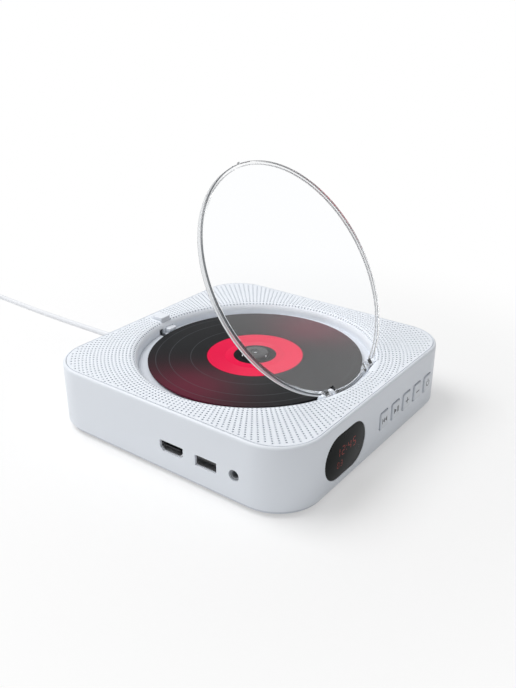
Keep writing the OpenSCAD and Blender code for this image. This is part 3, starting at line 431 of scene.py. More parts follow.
white = moulded("whiteMouldedPlastic", rgb(233, 238, 245))
# painted light: a lighter copy of the shell's white plastic for the deck, its rolled mouth and the well's wall
deckWhiteLit = moulded("deckWhiteLitPlastic", rgb(238, 243, 250), roughness=0.45)
paleWhite = moulded("palePlastic", rgb(214, 219, 227), roughness=0.5, tone=0.06)
keyWhite = moulded("keyCapPlastic", rgb(222, 227, 234), roughness=0.3, coat=0.2)
iconGrey = moulded("printedSymbolInk", rgb(72, 77, 85), roughness=0.5)
rubberBlack = moulded("footRubber", rgb(52, 53, 56), roughness=0.75, grain=1400.0, height=0.00006, tone=0.15)
blackPlastic = moulded("blackPlastic", rgb(30, 31, 34), roughness=0.45, tone=0.1)
coneBlack = moulded("conePaper", rgb(44, 44, 48), roughness=0.8, grain=700.0, height=0.0001, tone=0.2)
gearNylon = moulded("gearNylon", rgb(226, 222, 208), roughness=0.4)
greyPlastic = moulded("jackGrey", rgb(132, 135, 140), roughness=0.4)
jacketWhite = moulded("cordJacket", rgb(234, 236, 240), roughness=0.5, grain=1800.0)
tieBlack = moulded("bandWeave", rgb(36, 36, 38), roughness=0.85, grain=1500.0, height=0.0001, tone=0.2)
steel = metal("drawnSteel", rgb(205, 206, 210))
plated = metal("platedSheet", rgb(196, 197, 200), roughness=0.35, stretch=(0.05, 1, 1))
acrylicIor = 1.49
clearAcrylic = clear("clearAcrylic", (0.985, 0.992, 1.0, 1.0), (0.95, 0.95, 0.95, 1.0))
# painted shade: a dark clear finish for the dark lines along the lid's bevel and low edge
acrylicEdgeShade = clear("acrylicEdgeShade", (0.12, 0.13, 0.14, 1.0), (0.8, 0.8, 0.8, 1.0), roughness=0.2, through=0.4)
acrylicWall = clear("acrylicWall", (0.72, 0.74, 0.76, 1.0), (0.9, 0.9, 0.9, 1.0), roughness=0.3, through=0.75)
lensGlass = glossy("lensGlass", rgb(60, 48, 120), roughness=0.03)
windowBlack = glossy("displayGlass", rgb(21, 23, 23), roughness=0.25, coat=0.0, shine=0.06)
boardGreen = circuitBoard("circuitBoard")
# grooves, bands, label and middle are print; the two dark red fans are painted sheen
discPrintAndSheen = recordPrintAndSheen("recordPrintAndSheen", discLook)


def glowing(name, colour, strength):
    material, tree, shader = newMaterial(name)
    skin = grouped(tree, mouldedSkin, {"Colour": colour, "Grain Scale": 900.0, "Tone": 0.5, "Roughness": 0.5})
    feed(tree, shader, {"Base Color": skin.outputs["Colour"], "Emission Color": skin.outputs["Colour"],
                        "Emission Strength": strength})
    return material


digitRed = glowing("redDigits", rgb(150, 36, 26), 0.2)
print("materials made")


# power lead

lead = dict(
    diameter=3.4, exit=(-110.4, 17.5, 9.6), total=1.16,
    route=[(-114, 17.5, 9.6), (-118, 17.5, 9.3), (-122, 17.5, 8.4), (-126, 17.5, 7.1), (-130, 17.5, 5.5),
           (-134, 17.5, 4), (-138, 17.5, 2.8), (-142, 17.5, 2), (-147, 17.5, 1.7), (-154, 17.4, 1.7),
           (-162, 17.2, 1.7), (-176, 16.9, 1.7), (-192, 16.7, 1.7), (-208, 16.7, 1.7), (-224, 16.9, 1.7),
           (-240, 17.3, 1.7), (-254, 17.7, 1.7), (-262, 17.9, 1.8), (-269, 18, 2.1), (-275, 18, 2.4),
           (-280, 18, 2.6), (-284, 18, 2.6)],
    coilX=-288, coilTopY=18.0, middle=40, turns=3.5, gap=0.55, stepsPerTurn=24, tail=0.5, tailOut=1.6, gripZ=4.0,
    lead=14.0, tieThick=0.9)


def leadPoints(c):
    step = c["diameter"] + c["gap"]
    outer = c["middle"] / 2 + c["turns"] * step / 2
    inner = outer - c["turns"] * step
    centreY = c["coilTopY"] - outer
    low = c["diameter"] / 2 + c["tieThick"]
    top = low + step

    def ease(u):
        u = min(1.0, max(0.0, u))
        return u * u * (3 - 2 * u)

    def coil(s):
        if s < c["turns"]:
            r = outer - step * s
        elif s < 2 * c["turns"]:
            r = inner + step * (s - c["turns"])
        else:
            r = outer + step * c["tailOut"] * (s - 2 * c["turns"])
        z = (low + step * ease((s - c["turns"] + 0.25) * 2) if s < 2 * c["turns"]
             else top + (c["gripZ"] - top) * ease((s - 2 * c["turns"] - 0.1) / 0.4))
        a = math.radians(90 + 360 * s)
        return (c["coilX"] + r * math.cos(a), centreY + r * math.sin(a), z)

    points = [c["exit"]] + list(c["route"])
    last = round(c["stepsPerTurn"] * (2 * c["turns"] + c["tail"]))
    points += [coil(i / c["stepsPerTurn"]) for i in range(last + 1)]
    end = points[-1]
    points += [(end[0] + c["lead"] * share, end[1], end[2]) for share in (0.45, 0.75, 1.0)]
    return points, (inner, outer, centreY, top)


leadPath, (coilInner, coilOuter, coilCentreY, coilTop) = leadPoints(lead)
tailEnd = leadPath[-1]


def makeLead(c, points):
    curve = bpy.data.curves.new("powerLead", "CURVE")
    curve.dimensions = "3D"
    curve.bevel_depth = c["diameter"] / 2 * mm
    curve.bevel_resolution = 4
    curve.use_fill_caps = True
    spline = curve.splines.new("POLY")
    spline.points.add(len(points) - 1)
    for p, co in zip(spline.points, points):
        p.co = (*(v * mm for v in co), 1)
    spline.use_smooth = True
    curve.materials.append(jacketWhite)
    obj = bpy.data.objects.new("powerLead", curve)
    scene.collection.objects.link(obj)
    return place(obj, "housing", "cord_jacket", "power_cord", "cord_coil")


powerLead = makeLead(lead, leadPath)

plug = dict(x=-82.4, y=17.5, z=9.6, length=14.0, sleeve=14.0, radius=4.0, barrel=2.75, ribs=5, inserted=9.5)


def makePowerPlug(p, cordR):
    along = Matrix.Translation((p["x"], p["y"], p["z"])) @ Matrix.Rotation(-math.pi / 2, 4, "Y")
    bm = bmesh.new()
    r, l = p["radius"], p["length"]
    profile = [(0, 0), (r - 0.4, 0), (r, 0.5), (r, l - 1.2), (r - 0.25, l - 0.4), (r - 0.9, l)]
    for k in range(p["ribs"]):
        z = l + 0.6 + k * (p["sleeve"] - 2) / p["ribs"]
        taper = (r - 0.9) + (cordR + 0.25 - (r - 0.9)) * (z - l) / p["sleeve"]
        profile += [(taper, z), (taper, z + 1.3), (taper - 0.35, z + 1.5), (taper - 0.35, z + 2.1)]
    profile += [(cordR + 0.25, l + p["sleeve"] - 0.2), (cordR, l + p["sleeve"]), (0, l + p["sleeve"])]
    lathe(bm, profile, 40, along)
    barrel, deep = p["barrel"], -p["inserted"]
    lathe(bm, [(0.95, deep + 0.2), (0.95, 0.2), (barrel, 0.2), (barrel, deep + 0.3), (barrel - 0.25, deep),
               (1.2, deep)], 32, along, closed=True, slot=1)
    return place(finishMesh("powerPlug", bm, [jacketWhite, steel]), "housing", "cord_jacket", "power_plug")


def makeFarPlug(end, cordR):
    bm = bmesh.new()
    turn = Matrix.Translation(end) @ Matrix.Rotation(math.pi / 2, 4, "Y")
    lathe(bm, [(0, 0), (cordR + 0.25, 0), (cordR + 0.4, 2), (cordR + 0.5, 5), (2.9, 9.5), (2.9, 10.4), (0, 10.4)],
          32, turn)
    x0, x1 = end[0] + 9.9, end[0] + 32.0
    loops = []
    for x, trim in ((x0, 1.1), (x0 + 0.5, 0.3), (x0 + 1.4, 0), (x1 - 1.0, 0), (x1 - 0.3, 0.25), (x1, 0.9)):
        loops.append(onSide(rectLoop(15 - 2 * trim, 8 - 2 * trim, 2.4 - trim), "x", x, (end[1], end[2])))
    loft(bm, loops)
    tip0, tip1 = x1 - 0.1, end[0] + 44.0
    outer = [(tip0, 12, 4.5), (tip1, 12, 4.5), (tip1, 11.4, 3.9), (tip0 + 1, 11.4, 3.9)]
    rings = [onSide(rectLoop(w, h, 0.35), "x", x, (end[1], end[2])) for x, w, h in outer]
    loft(bm, rings, slot=1)
    box(bm, (tip0 + 1, end[1] - 5.6, end[2] - 2.0), (tip1 - 0.5, end[1] + 5.6, end[2] - 0.2), slot=2)
    obj = finishMesh("farPlug", bm, [jacketWhite, plated, blackPlastic])
    return place(obj, "housing", "cord_jacket", "far_plug")


def makeTie(c, inner, outer, centreY, top):
    # flat band that goes once round the coil's two layers
    x0 = c["coilX"] - outer - 2.9 - c["diameter"] / 2
    x1 = c["coilX"] - inner + c["diameter"] / 2 + 1.2
    z0, z1 = 0.4, top + c["diameter"] / 2 + 0.7
    bm = bmesh.new()
    wide, tall = x1 - x0, z1 - z0
    centre = ((x0 + x1) / 2, (z0 + z1) / 2)
    y0, y1 = -4, 4
    rings = [onSide(rectLoop(wide + 2 * w, tall + 2 * w, 1.5 + w), "-y", centreY + y, centre)
             for y, w in ((y0, 0.25), (y0 + 0.3, 0.3), (y1 - 0.3, 0.3), (y1, 0.25), (y1, -0.25), (y1 - 0.3, -0.3),
                          (y0 + 0.3, -0.3), (y0, -0.25))]
    loft(bm, rings, closed=True)
    return place(finishMesh("coilBand", bm, [tieBlack]), "housing", "black_plastic", "cord_tie")


powerPlug = makePowerPlug(plug, lead["diameter"] / 2)
farPlug = makeFarPlug(tailEnd, lead["diameter"] / 2)
coilBand = makeTie(lead, coilInner, coilOuter, coilCentreY, coilTop)
print("lead made")


# housing

shell = dict(half=82.0, corner=25.0, bottom=3.4, top=38.0, edge=1.5, edgeSteps=6, wall=2.2, rim=1.55, ledge=4.6,
             ledgeTop=36.0, ledgeLow=34.2, arcSteps=18, through=(78, 84))
display = dict(y=-36.0, z=19.4, wide=37.6, tall=23.8, front=81.9, colon=(0.8, 0.5, 2.7),
               rows=[((("1", -6.8), ("2", -2.2), ("4", 3.6), ("5", 8.2)), 1.6, 4.6),
                     ((("0", -6.6), ("3", -3.6)), -5.0, 3.0)])
keys = dict(count=5, first=2.4, pitch=12.8, z=18.8, wide=8.0, tall=9.2, front=82.8, back=78.6, collar=79.7,
            gap=0.7, corner=0.9, iconScale=1.3, ink=0.02)
# rectangular ports: place, width, height. Round ones: place, height above the floor, radius
ports = dict(front=-81.2, z=13.6, video=(10.4, 15.0, 6.0), data=(32.3, 13.1, 5.9), phone=(49.3, 17.1, 3.0),
             power=(17.5, 9.6, 4.0))


def pillLoop(wide, tall, arcSteps=24):
    r = tall / 2
    points = []
    for side in (1, -1):
        for k in range(arcSteps + 1):
            a = -math.pi / 2 + math.pi * k / arcSteps
            points.append((side * ((wide / 2 - r) + r * math.cos(a)), side * r * math.sin(a)))
    return points


def videoLoop(wide, tall, grow=0.0):
    # outline with two cut lower corners
    w, h, c = wide / 2 + grow, tall / 2 + grow, tall * 0.36
    return [(-w, h), (-w, -h + c * 0.9), (-w + c, -h), (w - c, -h), (w, -h + c * 0.9), (w, h)]


def discLoop(radius, steps=40):
    return [(radius * math.cos(2 * math.pi * k / steps), radius * math.sin(2 * math.pi * k / steps))
            for k in range(steps)]


def straight(bm, flat, side, ends, centre, slot=0):
    loft(bm, [onSide(flat, side, at, centre) for at in ends], slot=slot)


def makeShell(s):
    profile = [(0.45, s["bottom"]), (0.13, s["bottom"] + 0.13), (0, s["bottom"] + 0.45)]
    for k in range(s["edgeSteps"] + 1):
        a = math.pi / 2 * k / s["edgeSteps"]
        profile.append((s["edge"] * (1 - math.cos(a)), s["top"] - s["edge"] * (1 - math.sin(a))))
    profile += [(s["rim"] - 0.02, s["top"]), (s["rim"] + 0.02, s["top"] - 0.12), (s["rim"] + 0.02, s["ledgeTop"]),
                (s["ledge"], s["ledgeTop"]), (s["ledge"], s["ledgeLow"]), (s["wall"], s["ledgeLow"]),
                (s["wall"], s["bottom"])]
    bm = bmesh.new()
    loft(bm, [squareLoop(s["half"] - inset, s["corner"] - inset, z, s["arcSteps"]) for inset, z in profile],
         closed=True)
    obj = finishMesh("bodyShell", bm, [white])
    plus, minus = s["through"], [-at for at in s["through"][::-1]]
    cutter = bmesh.new()
    straight(cutter, pillLoop(display["wide"] + 0.3, display["tall"] + 0.3), "x", plus, (display["y"], display["z"]))
    grow = 2 * keys["gap"]
    for i in range(keys["count"]):
        straight(cutter, rectLoop(keys["wide"] + grow, keys["tall"] + grow, keys["corner"] + keys["gap"]), "x",
                 plus, (keys["first"] + i * keys["pitch"], keys["z"]))
    x, wide, tall = ports["video"]
    straight(cutter, videoLoop(wide, tall, 0.1), "-y", minus, (x, ports["z"] + tall / 2))
    x, wide, tall = ports["data"]
    straight(cutter, rectLoop(wide + 0.2, tall + 0.2, 0.4, 3), "-y", minus, (x, ports["z"] + tall / 2))
    for side, name in (("-y", "phone"), ("x", "power")):
        along, z, r = ports[name]
        straight(cutter, discLoop(r), side, minus, (along, z))
    cut(obj, finishMesh("openings", cutter, []))
    obj.data.set_sharp_from_angle(angle=math.radians(32))
    return place(obj, "housing", "white_plastic", "body_shell")


makeShell(shell)


# deck with its rings of holes

deck = dict(half=80.05, corner=22.9, top=38.0, under=36.0, well=65.4, roll=4.8, rollSteps=10, wellWall=1.6,
            floor=31.4,
            notchX=(56.8, 63.7), notchY=(15.6, 26.4), release=(-75.7, -67.1, 4.1),
            firstRing=67.5, rollRings=2, ringPitch=1.97, spokes=200, holeRadius=0.58, holeSides=8, rings=18,
            margin=0.45, mouthSteps=200, holeLow=34.6, cutTop=39, bayLow=35, notchLow=30, wallX=(-68, -63.9),
            catchHole=(-3.45, 3.45, 31.45, 34.35), hookHole=(-8.8, -5.2, 30.9, 34.4))


def deckOutline(d):
    # edges of the panel: outer edge, and the well's rolled mouth with the bay of the release key
    bm = bmesh.new()

    def closedLine(points):
        verts = [bm.verts.new(Vector((p[0], p[1], 0)) * mm) for p in points]
        for a, b in zip(verts, verts[1:] + verts[:1]):
            bm.edges.new((a, b))
    closedLine([(p.x / mm, p.y / mm) for p in squareLoop(d["half"], d["corner"], 0, 18)])
    r, (x0, _, y) = d["well"] + d["roll"], d["release"]
    steps, corner, bayTurn = d["mouthSteps"], 0.8, math.pi - math.asin(y / r)
    turns = [2 * math.pi * (k + 0.5) / steps - math.pi for k in range(steps)]
    mouth = [(r * math.cos(a), r * math.sin(a)) for a in turns if abs(a) < bayTurn]
    bay = [(-r * math.cos(math.pi - bayTurn), y)]
    bay += [(x0 + corner * (1 - math.sin(a)), y - corner * (1 - math.cos(a)))
            for a in (math.pi / 2 * k / 4 for k in range(5))]
    closedLine(mouth + bay + [(u, -v) for u, v in bay[::-1]])
    mesh = bpy.data.meshes.new("deckPanel")
    bm.to_mesh(mesh)
    bm.free()
    obj = bpy.data.objects.new("deckPanel", mesh)
    scene.collection.objects.link(obj)
    return obj


def geometryTree(name, inputs):
    tree = bpy.data.node_groups.new(name, "GeometryNodeTree")
    tree.interface.new_socket("Geometry", in_out="INPUT", socket_type="NodeSocketGeometry")
    sockets = {}
    for label, kind, value in inputs:
        socket = tree.interface.new_socket(label, in_out="INPUT", socket_type=kind)
        if value is not None:
            socket.default_value = value
        sockets[label] = socket.identifier
    tree.interface.new_socket("Geometry", in_out="OUTPUT", socket_type="NodeSocketGeometry")
    return tree, tree.nodes.new("NodeGroupInput"), tree.nodes.new("NodeGroupOutput"), sockets


def applyTree(obj, tree, sockets, values):
    modifier = obj.modifiers.new(tree.name, "NODES")
    modifier.node_group = tree
    for label, value in values.items():
        modifier[sockets[label]] = value
    return applied(obj)


def buildPerforation():
    floats = [("First Ring", 0.068), ("Ring Pitch", 0.002), ("Hole Radius", 0.0006), ("Edge Margin", 0.0006),
              ("Panel Half", 0.08), ("Panel Corner", 0.023), ("Skip Near X", -0.07), ("Skip Far X", -0.076),
              ("Skip Half Y", 0.006), ("Under", 0.036), ("Thickness", 0.002)]
    whole = [("Spokes", 160), ("Rings", 20), ("Hole Sides", 8)]
    tree, gin, gout, sockets = geometryTree("ringPerforation", (
        [(label, "NodeSocketFloat", value) for label, value in floats]
        + [(label, "NodeSocketInt", value) for label, value in whole] + [("Material", "NodeSocketMaterial", None)]))
    asked = gin.outputs

    def do(operation, *values):
        return maths(tree, operation, *values)

    def step(kind, values, **settings):
        return wire(tree, "GeometryNode" + kind, values, **settings).outputs[0]

    def joined(*parts):
        join = tree.nodes.new("GeometryNodeJoinGeometry")
        for part in parts:
            tree.links.new(part, join.inputs[0])
        return join.outputs[0]

    def upward(height):
        return wire(tree, "ShaderNodeCombineXYZ", {"Z": height}).outputs[0]

    # one point a hole, ring after ring
    index = step("InputIndex", {})
    ring = do("FLOOR", do("DIVIDE", do("ADD", index, 0.01), asked["Spokes"]))
    spoke = do("SUBTRACT", index, do("MULTIPLY", ring, asked["Spokes"]))
    angle = do("MULTIPLY", do("DIVIDE", spoke, asked["Spokes"]), 2 * math.pi)
    radius = do("ADD", asked["First Ring"], do("MULTIPLY", ring, asked["Ring Pitch"]))
    where = wire(tree, "ShaderNodeCombineXYZ", {"X": do("MULTIPLY", radius, do("COSINE", angle)),
                                                "Y": do("MULTIPLY", radius, do("SINE", angle)), "Z": 0.0})
    points = step("Points", {"Count": do("MULTIPLY", asked["Spokes"], asked["Rings"]), "Position": where.outputs[0]})
    # distance inside the rounded square
    at = wire(tree, "ShaderNodeSeparateXYZ", {0: step("InputPosition", {})}).outputs
    reach = do("SUBTRACT", asked["Panel Half"], asked["Panel Corner"])
    qx = do("SUBTRACT", do("ABSOLUTE", at["X"]), reach)
    qy = do("SUBTRACT", do("ABSOLUTE", at["Y"]), reach)
    ox, oy = do("MAXIMUM", qx, 0.0), do("MAXIMUM", qy, 0.0)
    corner = do("SQRT", do("ADD", do("MULTIPLY", ox, ox), do("MULTIPLY", oy, oy)))
    inner = do("MINIMUM", do("MAXIMUM", qx, qy), 0.0)
    depth = do("SUBTRACT", asked["Panel Corner"], do("ADD", corner, inner))
    outside = do("LESS_THAN", depth, asked["Edge Margin"])
    # the release key's bay, and holes that would meet an edge
    inBayX = do("MULTIPLY", do("LESS_THAN", at["X"], asked["Skip Near X"]),
                do("GREATER_THAN", at["X"], asked["Skip Far X"]))
    inBay = do("MULTIPLY", inBayX, do("LESS_THAN", do("ABSOLUTE", at["Y"]), asked["Skip Half Y"]))
    near = wire(tree, "GeometryNodeProximity", {0: asked["Geometry"]}, target_element="EDGES").outputs["Distance"]
    close = do("LESS_THAN", near, do("ADD", asked["Edge Margin"], asked["Hole Radius"]))
    drop = do("MAXIMUM", do("MAXIMUM", outside, close), inBay)
    kept = step("DeleteGeometry", {"Geometry": points, "Selection": drop}, domain="POINT")
    hole = step("CurvePrimitiveCircle", {"Resolution": asked["Hole Sides"], "Radius": asked["Hole Radius"]})
    holes = step("RealizeInstances", {0: step("InstanceOnPoints", {"Points": kept, "Instance": hole})})
    face = step("FillCurve", {0: joined(step("MeshToCurve", {0: asked["Geometry"]}), holes)})
    raised = step("ExtrudeMesh", {"Mesh": face, "Offset": upward(asked["Thickness"]), "Offset Scale": 1.0,
                                  "Individual": False}, mode="FACES")
    solid = step("MergeByDistance", {0: joined(raised, step("FlipFaces", {0: face})), "Distance": 1e-6})
    moved = step("SetPosition", {"Geometry": solid, "Offset": upward(asked["Under"])})
    painted = step("SetMaterial", {"Geometry": step("RealizeInstances", {0: moved}), "Material": asked["Material"]})
    tree.links.new(painted, gout.inputs[0])
    return tree, sockets


def joinInto(first, other):
    bm = bmesh.new()
    bm.from_mesh(first.data)
    bm.from_mesh(other.data)
    bpy.data.objects.remove(other)
    bm.to_mesh(first.data)
    bm.free()


def makeDeck(d):
    outline = deckOutline(d)
    tree, sockets = buildPerforation()
    lengths = {"First Ring": d["firstRing"] + d["rollRings"] * d["ringPitch"], "Ring Pitch": d["ringPitch"],
               "Hole Radius": d["holeRadius"], "Edge Margin": d["margin"], "Panel Half": d["half"],
               "Panel Corner": d["corner"], "Skip Near X": d["release"][1] + 1.2, "Skip Far X": d["release"][0],
               "Skip Half Y": d["release"][2], "Under": d["under"], "Thickness": d["top"] - d["under"]}
    applyTree(outline, tree, sockets, {
        **{label: value * mm for label, value in lengths.items()}, "Spokes": d["spokes"], "Rings": d["rings"],
        "Hole Sides": d["holeSides"], "Material": deckWhiteLit})
    print("deck faces", len(outline.data.polygons))
    # wall and rolled mouth of the well
    mouth, low, inside = d["well"] + d["roll"], d["top"] - d["roll"], d["roll"] - d["wellWall"]
    turns = [math.pi / 2 * k / d["rollSteps"] for k in range(d["rollSteps"] + 1)]
    profile = [(mouth - d["roll"] * math.sin(a), low + d["roll"] * math.cos(a)) for a in turns]
    profile += [(d["well"], d["floor"]), (d["well"] + d["wellWall"], d["floor"])]
    profile += [(mouth - inside * math.cos(a), low + inside * math.sin(a)) for a in turns[:-1]]
    profile += [(mouth, d["under"])]
    bm = bmesh.new()
    lathe(bm, profile, d["mouthSteps"], Matrix.Rotation(math.pi / d["mouthSteps"], 4, "Z"), closed=True)
    wall = finishMesh("wellWall", bm, [deckWhiteLit])
    # the innermost rings of holes lie on the roll
    cutter = bmesh.new()
    holeLow, holeTop, r = d["holeLow"], d["cutTop"], d["holeRadius"]
    for ring in range(d["rollRings"]):
        away = d["firstRing"] + ring * d["ringPitch"]
        for spoke in range(d["spokes"]):
            a = 2 * math.pi * spoke / d["spokes"]
            x, y = away * math.cos(a), away * math.sin(a)
            byHinge = x > d["notchX"][0] and d["notchY"][0] - 1 < abs(y) < d["notchY"][1] + 1
            if not byHinge and not (x < 0 and abs(y) < d["release"][2] + 1):
                lathe(cutter, [(0, holeLow), (r, holeLow), (r, holeTop), (0, holeTop)], d["holeSides"],
                      Matrix.Translation((x, y, 0)))
    cut(wall, finishMesh("rollHoles", cutter, []))
    # bay of the release key, notches of the hinges, openings of catch and hook
    cutter = bmesh.new()
    x0, x1, y = d["release"]
    box(cutter, (x0, -y, d["bayLow"]), (x1, y, d["cutTop"]))
    for s in (-1, 1):
        y0, y1 = sorted((s * d["notchY"][0], s * d["notchY"][1]))
        box(cutter, (d["notchX"][0], y0, d["notchLow"]), (d["notchX"][1], y1, d["cutTop"]))
    for y0, y1, z0, z1 in (d["catchHole"], d["hookHole"]):
        box(cutter, (d["wallX"][0], y0, z0), (d["wallX"][1], y1, z1))
    cut(wall, finishMesh("wellOpenings", cutter, []))
    joinInto(outline, wall)
    outline.data.materials.clear()
    outline.data.materials.append(deckWhiteLit)
    for face in outline.data.polygons:
        face.material_index = 0
    smoothed(outline.data, 30)
    return place(outline, "housing", "white_plastic", "deck_panel")


makeDeck(deck)
print("housing made")


# clear lid

lidParts = dict(radius=64.2, plate=2.0, top=38.2, skirt=1.6, skirtWide=1.8, bevel=0.9, edge=0.35, steps=192,
                hingeX=61.0, hingeZ=35.6, hingeY=21.0, knuckleY=22.0, knuckleHalf=1.5, knuckleR=2.2, pinR=1.06,
                pinHalf=4.0, open=56.5, notchY=5.4, hook=(-7.0, 3.0), hookLow=32.4, tabHalf=4, tabOut=0.6)


def makeLid(l):
    r, z1, e, b = l["radius"], l["top"], l["edge"], l["bevel"]
    z0 = z1 - l["plate"]
    inner = r - l["skirtWide"]
    zs = z0 - l["skirt"]
    k = e * 0.3
    profile = [(0, z1), (r - b - 0.15, z1), (r - b * 0.62, z1 - b * 0.14), (r - b * 0.28, z1 - b * 0.42),
               (r - 0.05, z1 - b * 0.8), (r, z1 - b - 0.1), (r, zs + e), (r - k, zs + k), (r - e, zs),
               (inner + e, zs), (inner + k, zs + k), (inner, zs + e), (inner, z0 - 0.3), (inner - 0.3, z0), (0, z0)]
    bm = bmesh.new()
    lathe(bm, profile, l["steps"])
    # bevel and low edge are dark with painted shade, the dark lines a clear rim shows; the wall between them is
    # frosted
    for face in bm.faces:
        middle = face.calc_center_median() / mm
        away = math.hypot(middle.x, middle.y)
        onBevel = away > r - b * 0.7 and middle.z > z1 - b - 0.12
        onLowEdge = away > r - e and middle.z < zs + e
        face.material_index = 1 if onBevel or onLowEdge else 2 if away > r - e else 0
    lid = finishMesh("lidClear", bm, [clearAcrylic, acrylicEdgeShade, acrylicWall], sharp=20)
    cutter, adds, pins = bmesh.new(), bmesh.new(), bmesh.new()
    knuckleFrom = l["hingeX"] - l["knuckleR"] - 1.6
    flat = [(knuckleFrom, z0 + 0.1), (knuckleFrom, z1 - 0.45)]
    flat += [(l["hingeX"] + l["knuckleR"] * math.sin(a), l["hingeZ"] + l["knuckleR"] * math.cos(a))
             for a in (math.pi * k / 16 for k in range(0, 25))]
    for s in (-1, 1):
        y0, y1 = sorted((s * (l["hingeY"] - l["notchY"]), s * (l["hingeY"] + l["notchY"])))
        box(cutter, (knuckleFrom + 0.4, y0, zs - 1), (r + 2, y1, z1 + 1))
        loft(adds, [[Vector((u, s * l["knuckleY"] + side * l["knuckleHalf"], v)) * mm for u, v in flat]
                    for side in (-1, 1)])
        turn = Matrix.Translation((l["hingeX"], s * l["hingeY"] - l["pinHalf"], l["hingeZ"])) @ Matrix.Rotation(
            -math.pi / 2, 4, "X")
        long = 2 * l["pinHalf"]
        lathe(pins, [(0, 0), (l["pinR"], 0), (l["pinR"], long), (0, long)], 24, turn)
    y, w = l["hook"]
    box(adds, (-r + 0.25, y - w / 2, l["hookLow"]), (-r + 2.0, y + w / 2, z0 + 0.4))
    box(adds, (-r - l["tabOut"], -l["tabHalf"], z0 + 0.05), (-r + 2.4, l["tabHalf"], z1 - 0.05))
    cut(lid, finishMesh("notches", cutter, []))
    cut(lid, finishMesh("knuckles", adds, []), "UNION")
    cut(lid, finishMesh("pinHoles", pins, []))
    hinge = Vector((l["hingeX"], 0, l["hingeZ"])) * mm
    lid.data.transform(Matrix.Translation(hinge) @ Matrix.Rotation(math.radians(l["open"]), 4, "Y")
                       @ Matrix.Translation(-hinge))
    smoothed(lid.data, 14)
    return place(lid, "lid", "clear_acrylic", "lid")


makeLid(lidParts)
print("lid made")


# disc

discParts = dict(radius=60.0, hole=7.5, low=32.3, high=33.5, edge=0.2, steps=192, grooveAt=16.6, grooveHalf=0.3,
                 grooveDeep=0.08)


def makeDisc(d):
    r, h, z0, z1, e = d["radius"], d["hole"], d["low"], d["high"], d["edge"]
    bm = bmesh.new()
    g, w = d["grooveAt"], d["grooveHalf"]
    lathe(bm, [(h, z0), (r - e, z0), (r, z0 + e), (r, z1 - e), (r - e, z1), (r - 1.2, z1), (g + w, z1),
               (g, z1 - d["grooveDeep"]), (g - w, z1), (h + e, z1), (h, z1 - e)], d["steps"], closed=True)
    disc = finishMesh("disc_face", bm, [discPrintAndSheen])
    return place(disc, "turntable", "disc_print", "disc")


makeDisc(discParts)


def makeTurntable(profile):
    bm = bmesh.new()
    lathe(bm, profile, 64, closed=True)
    return place(finishMesh("turntableHub", bm, [blackPlastic], sharp=40), "turntable", "black_plastic", "turntable")


# plate under the disc, hub through its hole, hollow for the spindle
makeTurntable([(1.05, 30.3), (13.7, 30.3), (14.0, 30.6), (14.0, 32.0), (13.7, 32.3), (7.4, 32.3), (7.4, 34.2),
               (7.15, 34.75), (6.6, 35.0), (3.4, 35.0), (3.0, 34.6), (2.3, 34.55), (1.9, 34.75), (1.05, 34.75)])
print("disc made")


# keys and display

def bar(u, v, w, h):
    return [(u - w / 2, v - h / 2), (u + w / 2, v - h / 2), (u + w / 2, v + h / 2), (u - w / 2, v + h / 2)]


def arrow(u, v, w, h, way=1):
    return [(u - way * w / 2, v - h / 2), (u + way * w / 2, v), (u - way * w / 2, v + h / 2)]


def openRing(outer, inner, gap, steps=16):
    # ring that is open at the top
    turns = [math.radians(gap / 2 + (360 - gap) * i / steps) for i in range(steps + 1)]
    return ([(outer * math.sin(a), outer * math.cos(a)) for a in turns]
            + [(inner * math.sin(a), inner * math.cos(a)) for a in turns[::-1]])


# back, play and pause, plus, minus, on and off
icons = [
    [arrow(-0.9, 0, 1.5, 2.4, -1), bar(-2.0, 0, 0.4, 2.4), arrow(0.9, 0, 1.5, 2.4, -1)],
    [arrow(-0.9, 0, 2.0, 2.6), bar(0.9, 0, 0.5, 2.6), bar(1.8, 0, 0.5, 2.6)],
    [bar(0, 0, 2.8, 0.5), bar(0, 0.85, 0.5, 1.2), bar(0, -0.85, 0.5, 1.2)],
    [bar(0, 0, 2.8, 0.5)],
    [openRing(1.5, 1.12, 80), bar(0, 1.2, 0.42, 1.7)]]


def makeKeys(k):
    w, h, front = k["wide"], k["tall"], k["front"]
    for i in range(k["count"]):
        centre = (k["first"] + i * k["pitch"], k["z"])
        bm = bmesh.new()
        loops = []
        for x, grow in ((k["back"], 1.0), (k["collar"], 1.0), (k["collar"], 0.0), (front - 0.45, 0.0),
                        (front - 0.2, -0.08), (front - 0.06, -0.22), (front, -0.5)):
            flat = rectLoop(w + 2 * grow, h + 2 * grow, max(0.3, k["corner"] + grow * 0.8))
            loops.append(onSide(flat, "x", x, centre))
        loft(bm, loops)
        for flat in icons[i]:
            straight(bm, [(u * k["iconScale"], v * k["iconScale"]) for u, v in flat], "x",
                     (front - 0.1, front + k["ink"]), centre, slot=1)
        key = finishMesh("keyCap%d" % (i + 1), bm, [keyWhite, iconGrey], sharp=40)
        place(key, "key_%d" % (i + 1), "key_plastic", "key_%d" % (i + 1))


makeKeys(keys)

segmentBars = {"top": (0, 1, 1, 0), "mid": (0, 0, 1, 0), "low": (0, -1, 1, 0), "upL": (-1, 0.5, 0, 1),
               "upR": (1, 0.5, 0, 1), "loL": (-1, -0.5, 0, 1), "loR": (1, -0.5, 0, 1)}
digitForms = {"0": "top low upL upR loL loR", "1": "upR loR", "2": "top upR mid loL low", "3": "top upR mid loR low",
              "4": "upL upR mid loR", "5": "top upL mid loR low", "8": "top mid low upL upR loL loR"}


